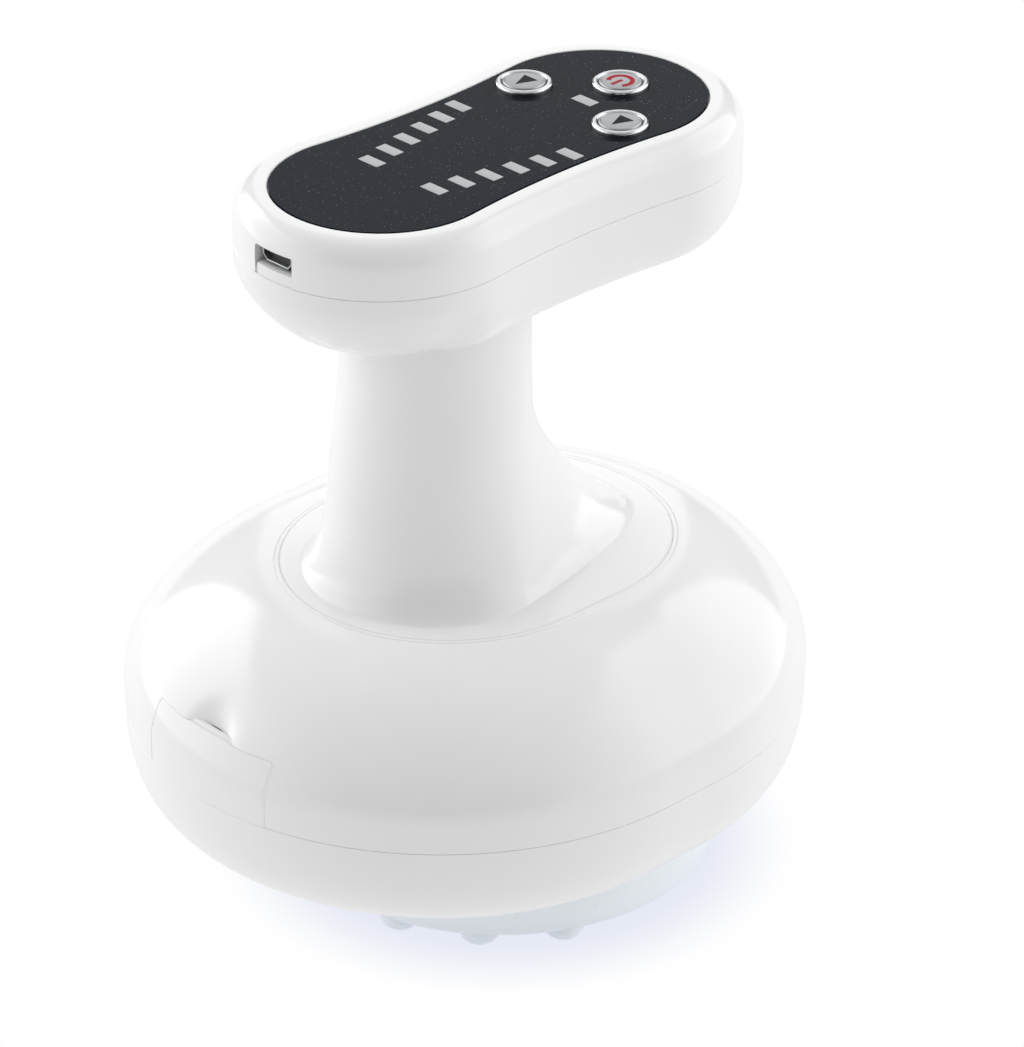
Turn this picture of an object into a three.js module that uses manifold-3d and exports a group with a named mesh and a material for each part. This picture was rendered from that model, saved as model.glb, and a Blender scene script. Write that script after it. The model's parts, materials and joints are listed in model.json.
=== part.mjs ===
// An electric cupping massager: a handle with a control panel, a neck, a round pump housing
// and a suction cup. Millimetres. +Z is up, z = 0 is the table under the cup's nubs, and
// x = 0, y = 0 is the middle of the housing.
// The charging port and the service door face -X, and the power button is at the +X end of the handle.

import * as THREE from 'three';
import { mergeVertices } from 'three/addons/utils/BufferGeometryUtils.js';
import Module from 'manifold-3d';

const wasm = await Module();
wasm.setup();

// Clearances and counts shared by all the pieces
const seatGap = 0.3;          // between pieces that rest on or fit round each other
const overrun = 1;            // how far a cutting tool reaches past what it cuts
const roundSides = 36;        // round pieces that show
const middleSides = 18;       // buttons and the round pieces inside
const smallSides = 10;        // screws, bosses and other small round pieces
const tubeSides = 6;
const routeSteps = 16;        // along each tube and the cable
const outside = { lobeSteps: 16, waistSteps: 3, levels: 6, sides: 36 };
const inside = { lobeSteps: 10, waistSteps: 2, levels: 4, sides: 18 };
const wall = 2.4;             // shell mouldings
const screwRadius = 1.2;
const screwHeadRadius = 2.4;
const screwHeadHeight = 1.3;
const slotReachShare = 0.7;   // of the screw head's radius
const bossRadius = 3.4;

// Housing
const bulbRadius = 59.4;
const bulbStretch = 5.7;      // half the distance between the housing's two end centres
const bulbRise = 21.6;        // from the widest level up to the ring groove
const bulbDrop = 26.9;        // from the widest level down to the underside
const bulbBaseRadius = 27;    // flat part of the underside
const upperRoundShare = 1.66;
const lowerRoundShare = 3.64;
const partingDrop = 5.5;      // the shells meet this far under the widest level
const lipHeight = 2;          // locating lip inside the parting line
const lipThickness = 1.2;

// Ring groove and what stands inside it
const ringRadius = 31.4;
const ringStretch = 7;
const ringMiddle = 2.85;
const ringRecess = 1.1;       // depth of the seat for the neck's foot
const footSideBand = 7.35;    // from the ring groove in to the foot's edge, at the sides
const footNearBand = 4.15;    // the same at the -X end
const footTipBand = 4.15;     // the same at the +X end
const footRise = 0.6;         // the foot's edge above the ring groove
const domeShoulder = 5;       // width over which the foot's rim rises
const domeRoundShare = 1.2;
const footTaperShare = 1.88;  // how the foot's outline draws in towards its tip
const footBluntShare = 0.63;  // how blunt the tip is
const footScrewSide = 20;     // screws under the foot's sides, from the neck's axis
const footScrewTip = 33;      // the screw under its tip
const footBossHeight = 5;     // above the ring groove

// Neck
const neckHeight = 53.6;      // from the foot's edge to the handle
const columnRadius = 17.4;
const columnStraight = 13.1;  // length of the column under the handle that doesn't widen
const columnSpread = 2.7;     // how much wider the column would be at its foot
const columnLean = 2.4;       // how far the column's middle would move to -X by then
const flareNear = 17.3;       // height of the flare at the -X side
const flareFar = 35.4;        // height of the flare at the +X side
const flareLeanShare = 0.73;  // how the flare's height grows from one side to the other
const flareFootShare = 1.22;  // rounding of the flare near its foot
const flareRoundShare = 1.6;  // and near the column
const neckWall = 2.6;
const neckSpigot = 4.2;       // how far the column reaches into the handle
const neckScrewCircle = 12;
const neckBossDepth = 12;
const clampThickness = 2;
const clampOverlap = 3.6;     // of the clamp plate over the handle's floor
const clampBoreRadius = 8;

// Handle
const handleMiddle = 6.9;
const lobeRadius = 20.1;      // panel's round ends
const lobeStretch = 26.9;     // half the distance between their centres
const waistHalf = 18.35;      // panel's half width at the waist
const rimWidth = 6.35;        // from the panel's edge out to the handle's side
const handleHeight = 26.8;
const seamDrop = 10.2;        // the shells meet this far under the panel's face
const topRoundHeight = 7;
const topRoundWidth = 5.3;
const topRoundShare = 2.4;
const baseRoundWidth = 9.4;
const baseRoundHeight = 11.8;
const baseRoundShare = 1.85;
const softRoundWidth = 13.2;  // the wider rounding under the -X end
const softRoundHeight = 13.6;
const softRoundShare = 1.5;
const softFrom = 21;          // towards -X from the handle's middle, where the rounding starts to soften
const softSpan = 13;
const panelThickness = 1;
const panelBed = 1.4;         // shell wall under the panel
const handleScrewX = 41;
const handleScrewNearY = 10;
const handleScrewFarY = 11;
const handleScrewLength = 17;
const headSink = 1.7;         // depth of the screw heads' seats under the panel

// Buttons and lights, from the middle of the panel
const buttonRadius = 4;
const buttonProud = 1.2;
const buttonTravel = 0.5;
const buttonFlange = 1;       // rim that keeps the button in
const buttonFlangeThickness = 0.8;
const bezelWidth = 0.9;
const bezelProud = 1.05;
const powerX = 32.6;
const sideButtonX = 20.1;
const sideButtonY = 12.3;
const barLength = 5;
const barWidth = 2.5;
const barCount = 6;
const rowStartX = 5.4;
const rowStartY = 14.3;
const rowEndX = -21.8;
const rowEndY = 8;
const powerBarX = 23.5;
const guideThickness = 1.2;
const boardThickness = 1.6;
const boardDrop = 7.8;        // top of the control board under the panel's face
const boardMargin = 0.8;
const switchSize = 6;
const switchPlungerRadius = 1.7;
const switchPlungerHeight = 0.5;

// Charging port
const portHalfWidth = 4.75;
const portTop = 4.5;          // under the panel's face
const tongueHeight = 2.1;
const socketHalfWidth = 3.75;
const socketHeight = 2.6;
const socketDepth = 5.6;
const socketInset = 1.3;
const socketWall = 0.4;

// Service door and filter
const doorHalfWidth = 15.6;
const doorMiddle = 2;         // the door stands a little to the +Y side
const doorHeight = 12.3;
const doorTabHalfWidth = 6;
const doorTabRise = 0.2;
const scoopHalfWidth = 7.2;
const scoopHeight = 5.6;
const scoopDepth = 2;
const trayHalfWidth = 13.2;
const trayDepth = 13;
const trayWall = 1.2;
const padThickness = 7.5;
const nippleRadius = 1.4;
const nippleLength = 4;
const tubeWall = 1.1;

// Cup
const cupMiddle = 9.1;
const cupRimRadius = 40.5;
const cupShoulderRadius = 42.6;
const cupHeight = 14.7;       // from the rim's underside to the cup's top
const cupRimWidth = 9.5;
const cupSideThickness = 2.2;
const cupTopThickness = 2.5;
const nubHeight = 3;
const nubRadius = 4;
const nubSides = 12;
const nubFlat = 0.5;          // taken off each nub so that it stands flat
const nubInset = 4.1;         // nub's middle from the rim's edge
const nubGroups = 3;
const nubsPerGroup = 3;
const nubSpacingTurns = 24.8 / 360;
const nubStartTurns = 219.4 / 360;
const collarRadius = 33;
const collarWall = 3;
const collarHeight = 6;
const plateThickness = 1.2;
const plateLedge = 1.2;
const sealRadius = 1;
const baseScrewCircle = 37.8;
const baseScrewLength = 9;

// Pump, valve, battery and boards in the housing
const pumpX = 2;
const motorRadius = 12.2;
const motorLength = 30;
const pumpRadius = 13.2;
const pumpHeadLength = 15;
const pumpCoverLength = 9;
const diaphragmThickness = 1.4;
const eccentricRadius = 5.5;
const eccentricThrow = 1.5;
const shaftRadius = 1.5;
const motorRibShares = [0.25, 0.75];  // where the ribs stand along the motor
const batteryRibShare = 0.3;  // how far the ribs stand from the battery's middle, along its length
const cradleLift = 1;         // under the pump and the battery
const ribThickness = 3;
const strapWidth = 6;
const strapThickness = 1.5;
const batteryX = 30;
const batteryRadius = 9.2;
const batteryLength = 65;
const batteryTerminal = 1.5;
const valveInset = 16;        // valve's middle from the housing's side
const valveTurnShare = 0.3932; // its direction, as a share of a whole turn from +X
const valveSize = 14;
const valveHeight = 22;
const valveNippleShare = 0.88; // height of the valve's nipple, as a share of the block
const valveLift = 5.5;
const plungerRadius = 2.3;
const plungerHeadRadius = 3.6;
const plungerTravel = 1.5;
const plungerDepth = 7;
const portX = -15.5;
const powerBoardDrop = 8;     // under the ring groove
const powerBoardNearX = -24.5;
const powerBoardFarX = 20;
const powerBoardHalfWidth = 22;
const boardPostX = 16;
const boardPostNearX = -21;
const boardPostY = 15;
const cableRadius = 2.2;
const plugHalfWidth = 4;
const plugHeight = 4;
const chipHalf = 6;           // half width of the large chips and the coil on the power board
const bezelSlopeShare = 0.7;  // how much of the bezel's width is left at its top
const neckScrewShare = 0.8;   // length of the neck's screws, as a share of their bosses
const baseScrewCount = 4;
const neckScrewCount = 3;
const warmHoleCount = 6;

// Levels above the table, and places that follow from the sizes above
const rimLevel = nubHeight;
const cupTopLevel = rimLevel + cupHeight;
const bulbBase = cupTopLevel + seatGap;
const equator = bulbBase + bulbDrop;
const parting = equator - partingDrop;
const ringLevel = equator + bulbRise;
const footLevel = ringLevel + footRise;
const handleUnderside = footLevel + neckHeight;
const panelLevel = handleUnderside + handleHeight;
const floorTop = bulbBase + wall;
const footRadius = ringRadius - footSideBand;
const neckMiddle = ringMiddle - ringStretch - ringRadius + footNearBand + footRadius;
const footReach = ringMiddle + ringStretch + ringRadius - footTipBand - neckMiddle;
const columnTop = handleUnderside + neckSpigot;
const doorTop = parting + doorHeight;
const pumpLevel = floorTop + cradleLift + seatGap + pumpRadius;
const batteryLevel = floorTop + cradleLift + seatGap + batteryRadius;
const tubeRadius = nippleRadius + seatGap + tubeWall;
const valveTurn = valveTurnShare * 2 * Math.PI;
const valveX = (bulbRadius - valveInset) * Math.cos(valveTurn);
const valveY = (bulbRadius - valveInset) * Math.sin(valveTurn);

// Solids and how they are joined and cut

function solid(geometry) {
  const bare = geometry.index ? geometry.clone() : mergeVertices(geometry.clone());
  bare.deleteAttribute('normal');
  bare.deleteAttribute('uv');
  const merged = mergeVertices(bare, overrun / 10000);
  const vertProperties = new Float32Array(merged.attributes.position.array);
  const triVerts = new Uint32Array(merged.index.array);
  return new wasm.Manifold(new wasm.Mesh({ numProp: 3, vertProperties, triVerts }));
}

function geometryOf(body) {
  const data = body.getMesh();
  const geometry = new THREE.BufferGeometry();
  geometry.setAttribute('position', new THREE.BufferAttribute(data.vertProperties, 3));
  geometry.setIndex(new THREE.BufferAttribute(data.triVerts, 1));
  geometry.computeVertexNormals();
  return geometry;
}

function join(first, ...rest) {
  return rest.reduce((sum, next) => sum.add(next), first);
}

function cut(first, ...rest) {
  return rest.reduce((left, next) => left.subtract(next), first);
}

function box([x0, x1], [y0, y1], [z0, z1]) {
  const geometry = new THREE.BoxGeometry(x1 - x0, y1 - y0, z1 - z0);
  geometry.translate((x0 + x1) / 2, (y0 + y1) / 2, (z0 + z1) / 2);
  return solid(geometry);
}

// A cylinder along one axis. At is the place of the axis on the other two, in X, Y, Z order.
function cylinder(axis, radius, at, [from, to], sides = smallSides, farRadius = radius) {
  const geometry = new THREE.CylinderGeometry(farRadius, radius, to - from, sides);
  geometry.translate(0, (from + to) / 2, 0);
  if (axis === 'z') {
    geometry.rotateX(Math.PI / 2);
    geometry.translate(at[0], at[1], 0);
  } else if (axis === 'x') {
    geometry.rotateZ(-Math.PI / 2);
    geometry.translate(0, at[0], at[1]);
  } else {
    geometry.translate(at[0], 0, at[1]);
  }
  return solid(geometry);
}

function ellipsoid([x, y, z], [rx, ry, rz], sides = middleSides) {
  const geometry = new THREE.SphereGeometry(1, sides, Math.ceil(sides / 2));
  geometry.scale(rx, ry, rz);
  geometry.translate(x, y, z);
  return solid(geometry);
}

// A closed body through rows of equal counts of points, from the bottom up, with a flat first and last row
function rowsLoft(rows) {
  const count = rows[0].length;
  const positions = rows.flat(2);
  const faces = [];
  for (let level = 0; level < rows.length - 1; level++) {
    for (let i = 0; i < count; i++) {
      const a = level * count + i;
      const b = level * count + (i + 1) % count;
      faces.push(a, b, b + count, a, b + count, a + count);
    }
  }
  const last = (rows.length - 1) * count;
  for (const [row, start, upward] of [[rows[0], 0, false], [rows.at(-1), last, true]]) {
    const middle = positions.length / 3;
    const sum = row.reduce(([sx, sy], [x, y]) => [sx + x, sy + y], [0, 0]);
    positions.push(sum[0] / count, sum[1] / count, row[0][2]);
    for (let i = 0; i < count; i++) {
      const here = start + i;
      const next = start + (i + 1) % count;
      faces.push(...(upward ? [middle, here, next] : [middle, next, here]));
    }
  }
  const geometry = new THREE.BufferGeometry();
  geometry.setAttribute('position', new THREE.Float32BufferAttribute(positions, 3));
  geometry.setIndex(faces);
  return solid(geometry);
}

// The same through level rings, each a flat outline {z, points}
function loft(rings) {
  return rowsLoft(rings.map(({ z, points }) => points.map(([x, y]) => [x, y, z])));
}

function arc(x, y, radius, from, to, steps) {
  return Array.from({ length: steps + 1 }, (_, i) => {
    const angle = from + (to - from) * i / steps;
    return [x + radius * Math.cos(angle), y + radius * Math.sin(angle)];
  });
}

function stadium(radius, stretch, middle, steps = outside.lobeSteps) {
  return [
    ...arc(middle + stretch, 0, radius, -Math.PI / 2, Math.PI / 2, steps),
    ...arc(middle - stretch, 0, radius, Math.PI / 2, 3 * Math.PI / 2, steps),
  ];
}

// The handle's outline: two round lobes joined by a drawn-in waist, grown by an offset
function peanut(offset, { lobeSteps, waistSteps } = outside) {
  const waistRadius = (waistHalf ** 2 + lobeStretch ** 2 - lobeRadius ** 2) / (2 * (lobeRadius - waistHalf));
  const waistY = waistHalf + waistRadius;
  const turn = Math.atan2(waistY, -lobeStretch);
  const radius = lobeRadius + offset;
  const right = arc(lobeStretch, 0, radius, -turn, turn, lobeSteps);
  const hollow = Math.atan2(lobeStretch, waistY);
  const top = arc(0, waistY, waistRadius - offset, -Math.PI / 2 + hollow, -Math.PI / 2 - hollow, waistSteps);
  const half = [...right, ...top.slice(1, -1)];
  return [...half, ...half.map(([x, y]) => [-x, -y])];
}

// A quarter of a superellipse from its flat end (share 0) to its upright end (share 1)
function quarter(share, roundness) {
  const angle = share * Math.PI / 2;
  return { across: Math.sin(angle) ** (2 / roundness), down: 1 - Math.cos(angle) ** (2 / roundness) };
}

// A tube or rod along a smooth route of points
function swept(points, radius, bore = 0) {
  const circle = new THREE.Shape();
  circle.absarc(0, 0, radius, 0, 2 * Math.PI);
  if (bore) {
    const hole = new THREE.Path();
    hole.absarc(0, 0, bore, 0, 2 * Math.PI, true);
    circle.holes.push(hole);
  }
  const route = new THREE.CatmullRomCurve3(points.map((p) => new THREE.Vector3(...p)));
  const options = { extrudePath: route, steps: routeSteps, curveSegments: tubeSides / 2 };
  return solid(new THREE.ExtrudeGeometry(circle, options));
}

// A screw along Z with its head's outer face at z = 0 and its shank pointing down
function screw(length) {
  const head = cylinder('z', screwHeadRadius, [0, 0], [-screwHeadHeight, 0]);
  const shank = cylinder('z', screwRadius, [0, 0], [-screwHeadHeight - length, -screwHeadHeight / 2]);
  const slotHalf = screwRadius / 3;
  const slotReach = screwHeadRadius * slotReachShare;
  const slotFloor = -screwHeadHeight / 2;
  const slot = box([-slotReach, slotReach], [-slotHalf, slotHalf], [slotFloor, overrun]);
  const cross = box([-slotHalf, slotHalf], [-slotReach, slotReach], [slotFloor, overrun]);
  return cut(join(head, shank), slot, cross);
}

// Materials
function material(name, color, roughness, metalness, extra = {}) {
  return () => new THREE.MeshStandardMaterial({ name, color, roughness, metalness, ...extra });
}
const whitePlastic = material('white plastic', 0xf2f2f3, 0.16, 0);
const greyPlastic = material('grey plastic', 0x9aa0a6, 0.5, 0);
const blackGloss = material('black gloss', 0x24262b, 0.12, 0);
const brightMetal = material('bright metal', 0xd0d3d8, 0.18, 1);
const satinMetal = material('satin metal', 0xa8abaf, 0.4, 1);
const lightBar = material('light bar', 0xb4b7bb, 0.35, 0);
const circuitBoard = material('circuit board', 0x1f5a3a, 0.5, 0);
const blackPlastic = material('black plastic', 0x2a2b2e, 0.5, 0);
const rubber = material('rubber', 0x3a3b3e, 0.8, 0);
const foam = material('foam', 0x8b8f94, 0.95, 0);
const cellWrap = material('cell wrap', 0x2d6fb0, 0.35, 0);
const clearTube = material('clear tube', 0xdfe4e6, 0.3, 0, { transparent: true, opacity: 0.6 });
const frosted = material('frosted cup', 0xdce1e8, 0.3, 0, { transparent: true, opacity: 0.75 });

function piece(name, body, makeMaterial, position = [0, 0, 0]) {
  const mesh = new THREE.Mesh(geometryOf(body), makeMaterial());
  mesh.name = name;
  mesh.position.set(...position);
  return mesh;
}

// Housing surfaces

function bulbRings(inset, { lobeSteps, levels } = outside) {
  const rings = [];
  const widest = bulbRadius - inset;
  const lowerLevels = levels;
  const upperLevels = levels + 2;
  for (let i = lowerLevels; i > 0; i--) {
    const share = Math.sin(i / lowerLevels * Math.PI / 2);
    const swell = (1 - share ** lowerRoundShare) ** (1 / lowerRoundShare);
    const radius = bulbBaseRadius + (widest - bulbBaseRadius) * swell;
    const points = stadium(radius, bulbStretch, 0, lobeSteps);
    rings.push({ z: equator - (bulbDrop - inset) * share, points });
  }
  for (let i = 0; i <= upperLevels; i++) {
    const share = Math.sin(i / upperLevels * Math.PI / 2);
    const swell = (1 - share ** upperRoundShare) ** (1 / upperRoundShare);
    const radius = ringRadius + (widest - ringRadius) * swell;
    const stretch = ringStretch + (bulbStretch - ringStretch) * swell;
    const points = stadium(radius, stretch, ringMiddle * (1 - swell), lobeSteps);
    rings.push({ z: equator + (bulbRise - inset) * share, points });
  }
  return rings;
}

const bulbOuter = loft(bulbRings(0));
const bulbInner = loft(bulbRings(wall, inside));
const bulbRoom = loft(bulbRings(wall + seatGap, inside));
const wide = 2 * (bulbRadius + bulbStretch);
const baseScrewPlaces = Array.from({ length: baseScrewCount }, (_, i) => {
  const angle = i * 2 * Math.PI / baseScrewCount;
  return [cupMiddle + baseScrewCircle * Math.cos(angle), baseScrewCircle * Math.sin(angle)];
});
const footScrewPlaces = [
  [neckMiddle, footScrewSide],
  [neckMiddle, -footScrewSide],
  [neckMiddle + footScrewTip, 0],
];
const boardPostPlaces = [boardPostNearX, boardPostX].flatMap((x) => [[x, boardPostY], [x, -boardPostY]]);
const powerBoardTop = ringLevel - powerBoardDrop;

// The door's outline seen from -X, grown by a gap, as a block that reaches in through the wall
function doorBlock(gap, bottom) {
  const half = doorHalfWidth + gap;
  const top = doorTop + gap;
  const shape = new THREE.Shape();
  shape.moveTo(-half, bottom);
  shape.lineTo(half, bottom);
  shape.lineTo(half, top);
  const tabSteps = 10;
  for (let i = 0; i <= tabSteps; i++) {
    const angle = i / tabSteps * Math.PI;
    shape.lineTo((doorTabHalfWidth + gap) * Math.cos(angle), top + doorTabRise * Math.sin(angle));
  }
  shape.lineTo(-half, top);
  const depth = bulbRadius / 2;
  const geometry = new THREE.ExtrudeGeometry(shape, { depth, bevelEnabled: false });
  geometry.rotateX(Math.PI / 2);
  geometry.rotateZ(Math.PI / 2);
  geometry.translate(-bulbRadius - bulbStretch - overrun, doorMiddle, 0);
  return solid(geometry);
}

// How far the housing's outside reaches towards -X at a level above the widest one
function bulbReach(level) {
  const share = Math.max((level - equator) / bulbRise, 0);
  const swell = (1 - share ** upperRoundShare) ** (1 / upperRoundShare);
  const radius = ringRadius + (bulbRadius - ringRadius) * swell;
  return radius + ringStretch + (bulbStretch - ringStretch) * swell - ringMiddle * (1 - swell);
}

function scoop(extra) {
  const middle = [-bulbReach(doorTop), doorMiddle, doorTop];
  return ellipsoid(middle, [scoopDepth + extra, scoopHalfWidth + extra, scoopHeight + extra]);
}

function bulbUpperShell() {
  const above = box([-wide, wide], [-wide, wide], [parting + seatGap / 2, ringLevel + overrun]);
  const seat = loft([
    { z: ringLevel - ringRecess, points: stadium(ringRadius, ringStretch, ringMiddle) },
    { z: ringLevel + overrun, points: stadium(ringRadius, ringStretch, ringMiddle) },
  ]);
  const wayRadius = columnRadius - neckWall - overrun;
  const way = cylinder('z', wayRadius, [neckMiddle, 0], [equator, ringLevel + overrun], middleSides);
  const scoopBacking = scoop(wall / 2).intersect(bulbOuter);
  const skin = join(bulbOuter.subtract(bulbInner), scoopBacking).intersect(above);
  const posts = boardPostPlaces.map(([x, y]) =>
    cylinder('z', bossRadius - screwRadius / 2, [x, y], [powerBoardTop + seatGap, ringLevel]));
  const pilotSpan = [floorTop - overrun, floorTop + baseScrewLength + overrun];
  const pilots = baseScrewPlaces.map(([x, y]) => cylinder('z', screwRadius + seatGap, [x, y], pilotSpan));
  const footHoles = footScrewPlaces.map(([x, y]) =>
    cylinder('z', screwRadius + seatGap, [x, y], [equator, ringLevel + overrun]));
  const bosses = baseScrewPlaces.map(([x, y]) => join(
    cylinder('z', bossRadius, [x, y], [floorTop + seatGap, parting]).intersect(bulbRoom),
    cylinder('z', bossRadius, [x, y], [parting - overrun, ringLevel]).intersect(bulbOuter),
  ));
  const grown = join(skin, ...posts.map((post) => post.intersect(bulbOuter)), ...bosses);
  return cut(grown, seat, way, scoop(0), doorBlock(seatGap, parting - overrun), ...pilots, ...footHoles);
}

function bulbLowerShell() {
  const below = box([-wide, wide], [-wide, wide], [0, parting - seatGap / 2]);
  const doorClear = doorHalfWidth + wall;
  const doorWay = box([-wide, -bulbRadius / 2], [doorMiddle - doorClear, doorMiddle + doorClear],
    [parting - lipHeight - overrun, ringLevel]);
  const lip = locatingLip().subtract(doorWay);
  const collarLow = bulbBase - collarHeight;
  const seatTop = collarLow + plateThickness + 2 * seatGap;
  const aroundCup = (radius, span) => cylinder('z', radius, [cupMiddle, 0], span, roundSides);
  const collar = aroundCup(collarRadius, [collarLow, floorTop - wall / 2]);
  const collarBore = aroundCup(collarRadius - collarWall - plateLedge, [collarLow - overrun, bulbBase]);
  const plateSeat = aroundCup(collarRadius - collarWall, [collarLow - overrun, seatTop]);
  const grooveLow = bulbBase - collarHeight / 2 - sealRadius - seatGap;
  const grooveSpan = [grooveLow, grooveLow + 2 * (sealRadius + seatGap)];
  const grooveFloor = collarRadius - 2 * sealRadius - seatGap / 2;
  const sealGroove = cut(aroundCup(collarRadius + overrun, grooveSpan), aroundCup(grooveFloor, grooveSpan));
  const batteryRibY = batteryLength * batteryRibShare;
  const ribs = [
    ...cradle(pumpX, pumpLevel, motorRadius, motorRibShares.map((share) => motorLength * share)),
    ...cradle(batteryX, batteryLevel, batteryRadius, [-batteryRibY, batteryRibY]),
  ];
  const valveFoot = box(
    [valveX - valveSize / 2, valveX + valveSize / 2], [valveY - valveSize / 2, valveY + valveSize / 2],
    [bulbBase, floorTop + valveLift - seatGap]);
  const standing = [...ribs, valveFoot].map((rib) => rib.intersect(bulbOuter));
  const skin = join(bulbOuter.subtract(bulbInner).intersect(below), lip, collar, ...standing);
  const holes = baseScrewPlaces.flatMap(([x, y]) => [
    cylinder('z', screwRadius + seatGap, [x, y], [bulbBase - overrun, bulbBase + baseScrewLength]),
    cylinder('z', screwHeadRadius + seatGap, [x, y], [bulbBase - overrun, bulbBase + screwHeadHeight]),
  ]);
  const port = cylinder('z', nippleRadius + seatGap, [portX, 0], [bulbBase - overrun, floorTop + overrun]);
  return cut(skin, collarBore, plateSeat, sealGroove, port, ...holes);
}

// A lip round the inside of the lower shell that stands up into the upper shell
function locatingLip() {
  const share = partingDrop / (bulbDrop - wall);
  const swell = (1 - share ** lowerRoundShare) ** (1 / lowerRoundShare);
  const wallRadius = bulbBaseRadius + (bulbRadius - wall - bulbBaseRadius) * swell;
  const upright = (radius, low, high) => {
    const points = stadium(radius, bulbStretch, 0, inside.lobeSteps);
    return loft([{ z: low, points }, { z: high, points }]);
  };
  const root = upright(wallRadius + wall / 4, parting - lipHeight, parting - seatGap / 2);
  const lip = upright(wallRadius - seatGap, parting - lipHeight, parting + lipHeight);
  const hollowReach = lipHeight + overrun;
  const hollow = upright(wallRadius - seatGap - lipThickness, parting - hollowReach, parting + hollowReach);
  return join(root, lip).subtract(hollow);
}

// Ribs on the floor that hold a round body lying along Y
function cradle(x, level, radius, places) {
  const half = radius + ribThickness / 2;
  return places.map((y) => box(
    [x - half, x + half], [y - ribThickness / 2, y + ribThickness / 2], [bulbBase, level - radius / 4],
  ).subtract(cylinder('y', radius + seatGap, [x, level], [y - ribThickness, y + ribThickness], middleSides)));
}

function sealRing(thickness) {
  const middle = collarRadius - sealRadius + seatGap / 2;
  const circle = arc(middle, 0, thickness, 0, 2 * Math.PI, tubeSides);
  const profile = circle.map(([r, z]) => new THREE.Vector2(r, z));
  const geometry = new THREE.LatheGeometry(profile, roundSides);
  geometry.rotateX(Math.PI / 2);
  geometry.translate(cupMiddle, 0, bulbBase - collarHeight / 2);
  return solid(geometry);
}

function filterDoor() {
  const block = doorBlock(0, parting + seatGap / 2);
  return bulbOuter.subtract(bulbInner).intersect(block);
}

// The filter's tray opens towards the door. Its mouth follows the inside of the housing.
const trayTop = doorTop - seatGap - trayWall;
const trayBottom = parting + lipHeight + seatGap;
const trayBack = -(bulbRadius + bulbStretch - wall) + trayDepth;
const trayNippleLevel = (trayTop + trayBottom) / 2;
const trayNear = doorMiddle - trayHalfWidth;
const trayFar = doorMiddle + trayHalfWidth;
const nearNippleY = doorMiddle - trayHalfWidth / 2;
const farNippleY = doorMiddle + trayHalfWidth / 2;
const traySideX = trayBack - trayDepth / 4;

function filterTray() {
  const front = -wide / 2;
  const inner = trayBack - trayWall;
  const block = box([front, trayBack], [trayNear, trayFar], [trayBottom, trayTop]);
  const hollow = box([front - overrun, inner], [trayNear + trayWall, trayFar - trayWall],
    [trayBottom + trayWall, trayTop - trayWall]);
  const backNipples = [nearNippleY, farNippleY].map((y) => (radius, from, to) =>
    cylinder('x', radius, [y, trayNippleLevel], [from, to], tubeSides));
  const sideNipple = (radius, from, to) =>
    cylinder('y', radius, [traySideX, trayNippleLevel], [from, to], tubeSides);
  const pipes = [
    ...backNipples.map((pipe) => pipe(nippleRadius, inner, trayBack + nippleLength)),
    sideNipple(nippleRadius, trayFar - trayWall, trayFar + nippleLength),
  ];
  const bores = [
    ...backNipples.map((pipe) => pipe(nippleRadius / 2, inner - overrun, trayBack + nippleLength + overrun)),
    sideNipple(nippleRadius / 2, trayFar - trayWall - overrun, trayFar + nippleLength + overrun),
  ];
  return cut(join(block.intersect(bulbRoom), ...pipes), hollow, ...bores);
}

function filterPad() {
  const back = trayBack - trayWall - seatGap;
  const inset = trayWall + seatGap;
  const across = [trayNear + inset, trayFar - inset];
  return box([back - padThickness, back], across, [trayBottom + inset, trayTop - inset]).intersect(bulbRoom);
}

// Pump along Y: the motor at +Y, then the head with its eccentric, the diaphragm and the valve cover at -Y
const headEnd = -pumpHeadLength;
const diaphragmEnd = headEnd - seatGap - diaphragmThickness;
const coverEnd = diaphragmEnd - seatGap - pumpCoverLength;
const motorStart = seatGap;
const headCavity = pumpRadius - wall;

// A round body along the pump's axis
function onPump(radius, span, sides = middleSides) {
  return cylinder('y', radius, [pumpX, pumpLevel], span, sides);
}

function pumpMotor() {
  const motorEnd = motorStart + motorLength;
  const can = onPump(motorRadius, [motorStart, motorEnd]);
  const rearBoss = onPump(shaftRadius * 2, [motorEnd - overrun, motorEnd + shaftRadius], smallSides);
  const shaftWay = onPump(shaftRadius + seatGap, [-overrun, motorStart + motorLength / 4], smallSides);
  return cut(join(can, rearBoss), shaftWay);
}

function pumpEccentric() {
  const thickness = pumpHeadLength / 3;
  const wheelSpan = [-thickness - shaftRadius, -shaftRadius];
  const wheel = cylinder('y', eccentricRadius, [pumpX, pumpLevel + eccentricThrow], wheelSpan);
  const shaft = onPump(shaftRadius, [-thickness, motorLength / 4], smallSides);
  const crankPin = cylinder('y', shaftRadius, [pumpX, pumpLevel + 2 * eccentricThrow],
    [-thickness - 3 * shaftRadius, -thickness], smallSides / 2);
  return join(wheel, shaft, crankPin);
}

function pumpHead() {
  const body = onPump(pumpRadius, [headEnd, 0]);
  const cavity = onPump(headCavity, [headEnd + wall, overrun]);
  const rodWay = onPump(headCavity / 2, [headEnd - overrun, 0], smallSides);
  return cut(body, cavity, rodWay);
}

function pumpDiaphragm() {
  return join(
    onPump(pumpRadius - seatGap, [diaphragmEnd, headEnd - seatGap]),
    onPump(headCavity / 2 - 3 * seatGap, [headEnd - seatGap - overrun / 2, headEnd + wall], smallSides),
  );
}

const pumpNippleY = coverEnd + pumpCoverLength / 2;
const pumpNippleLevel = pumpLevel + pumpRadius / 3;
const pumpNippleTip = pumpX - pumpRadius - nippleLength;

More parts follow.
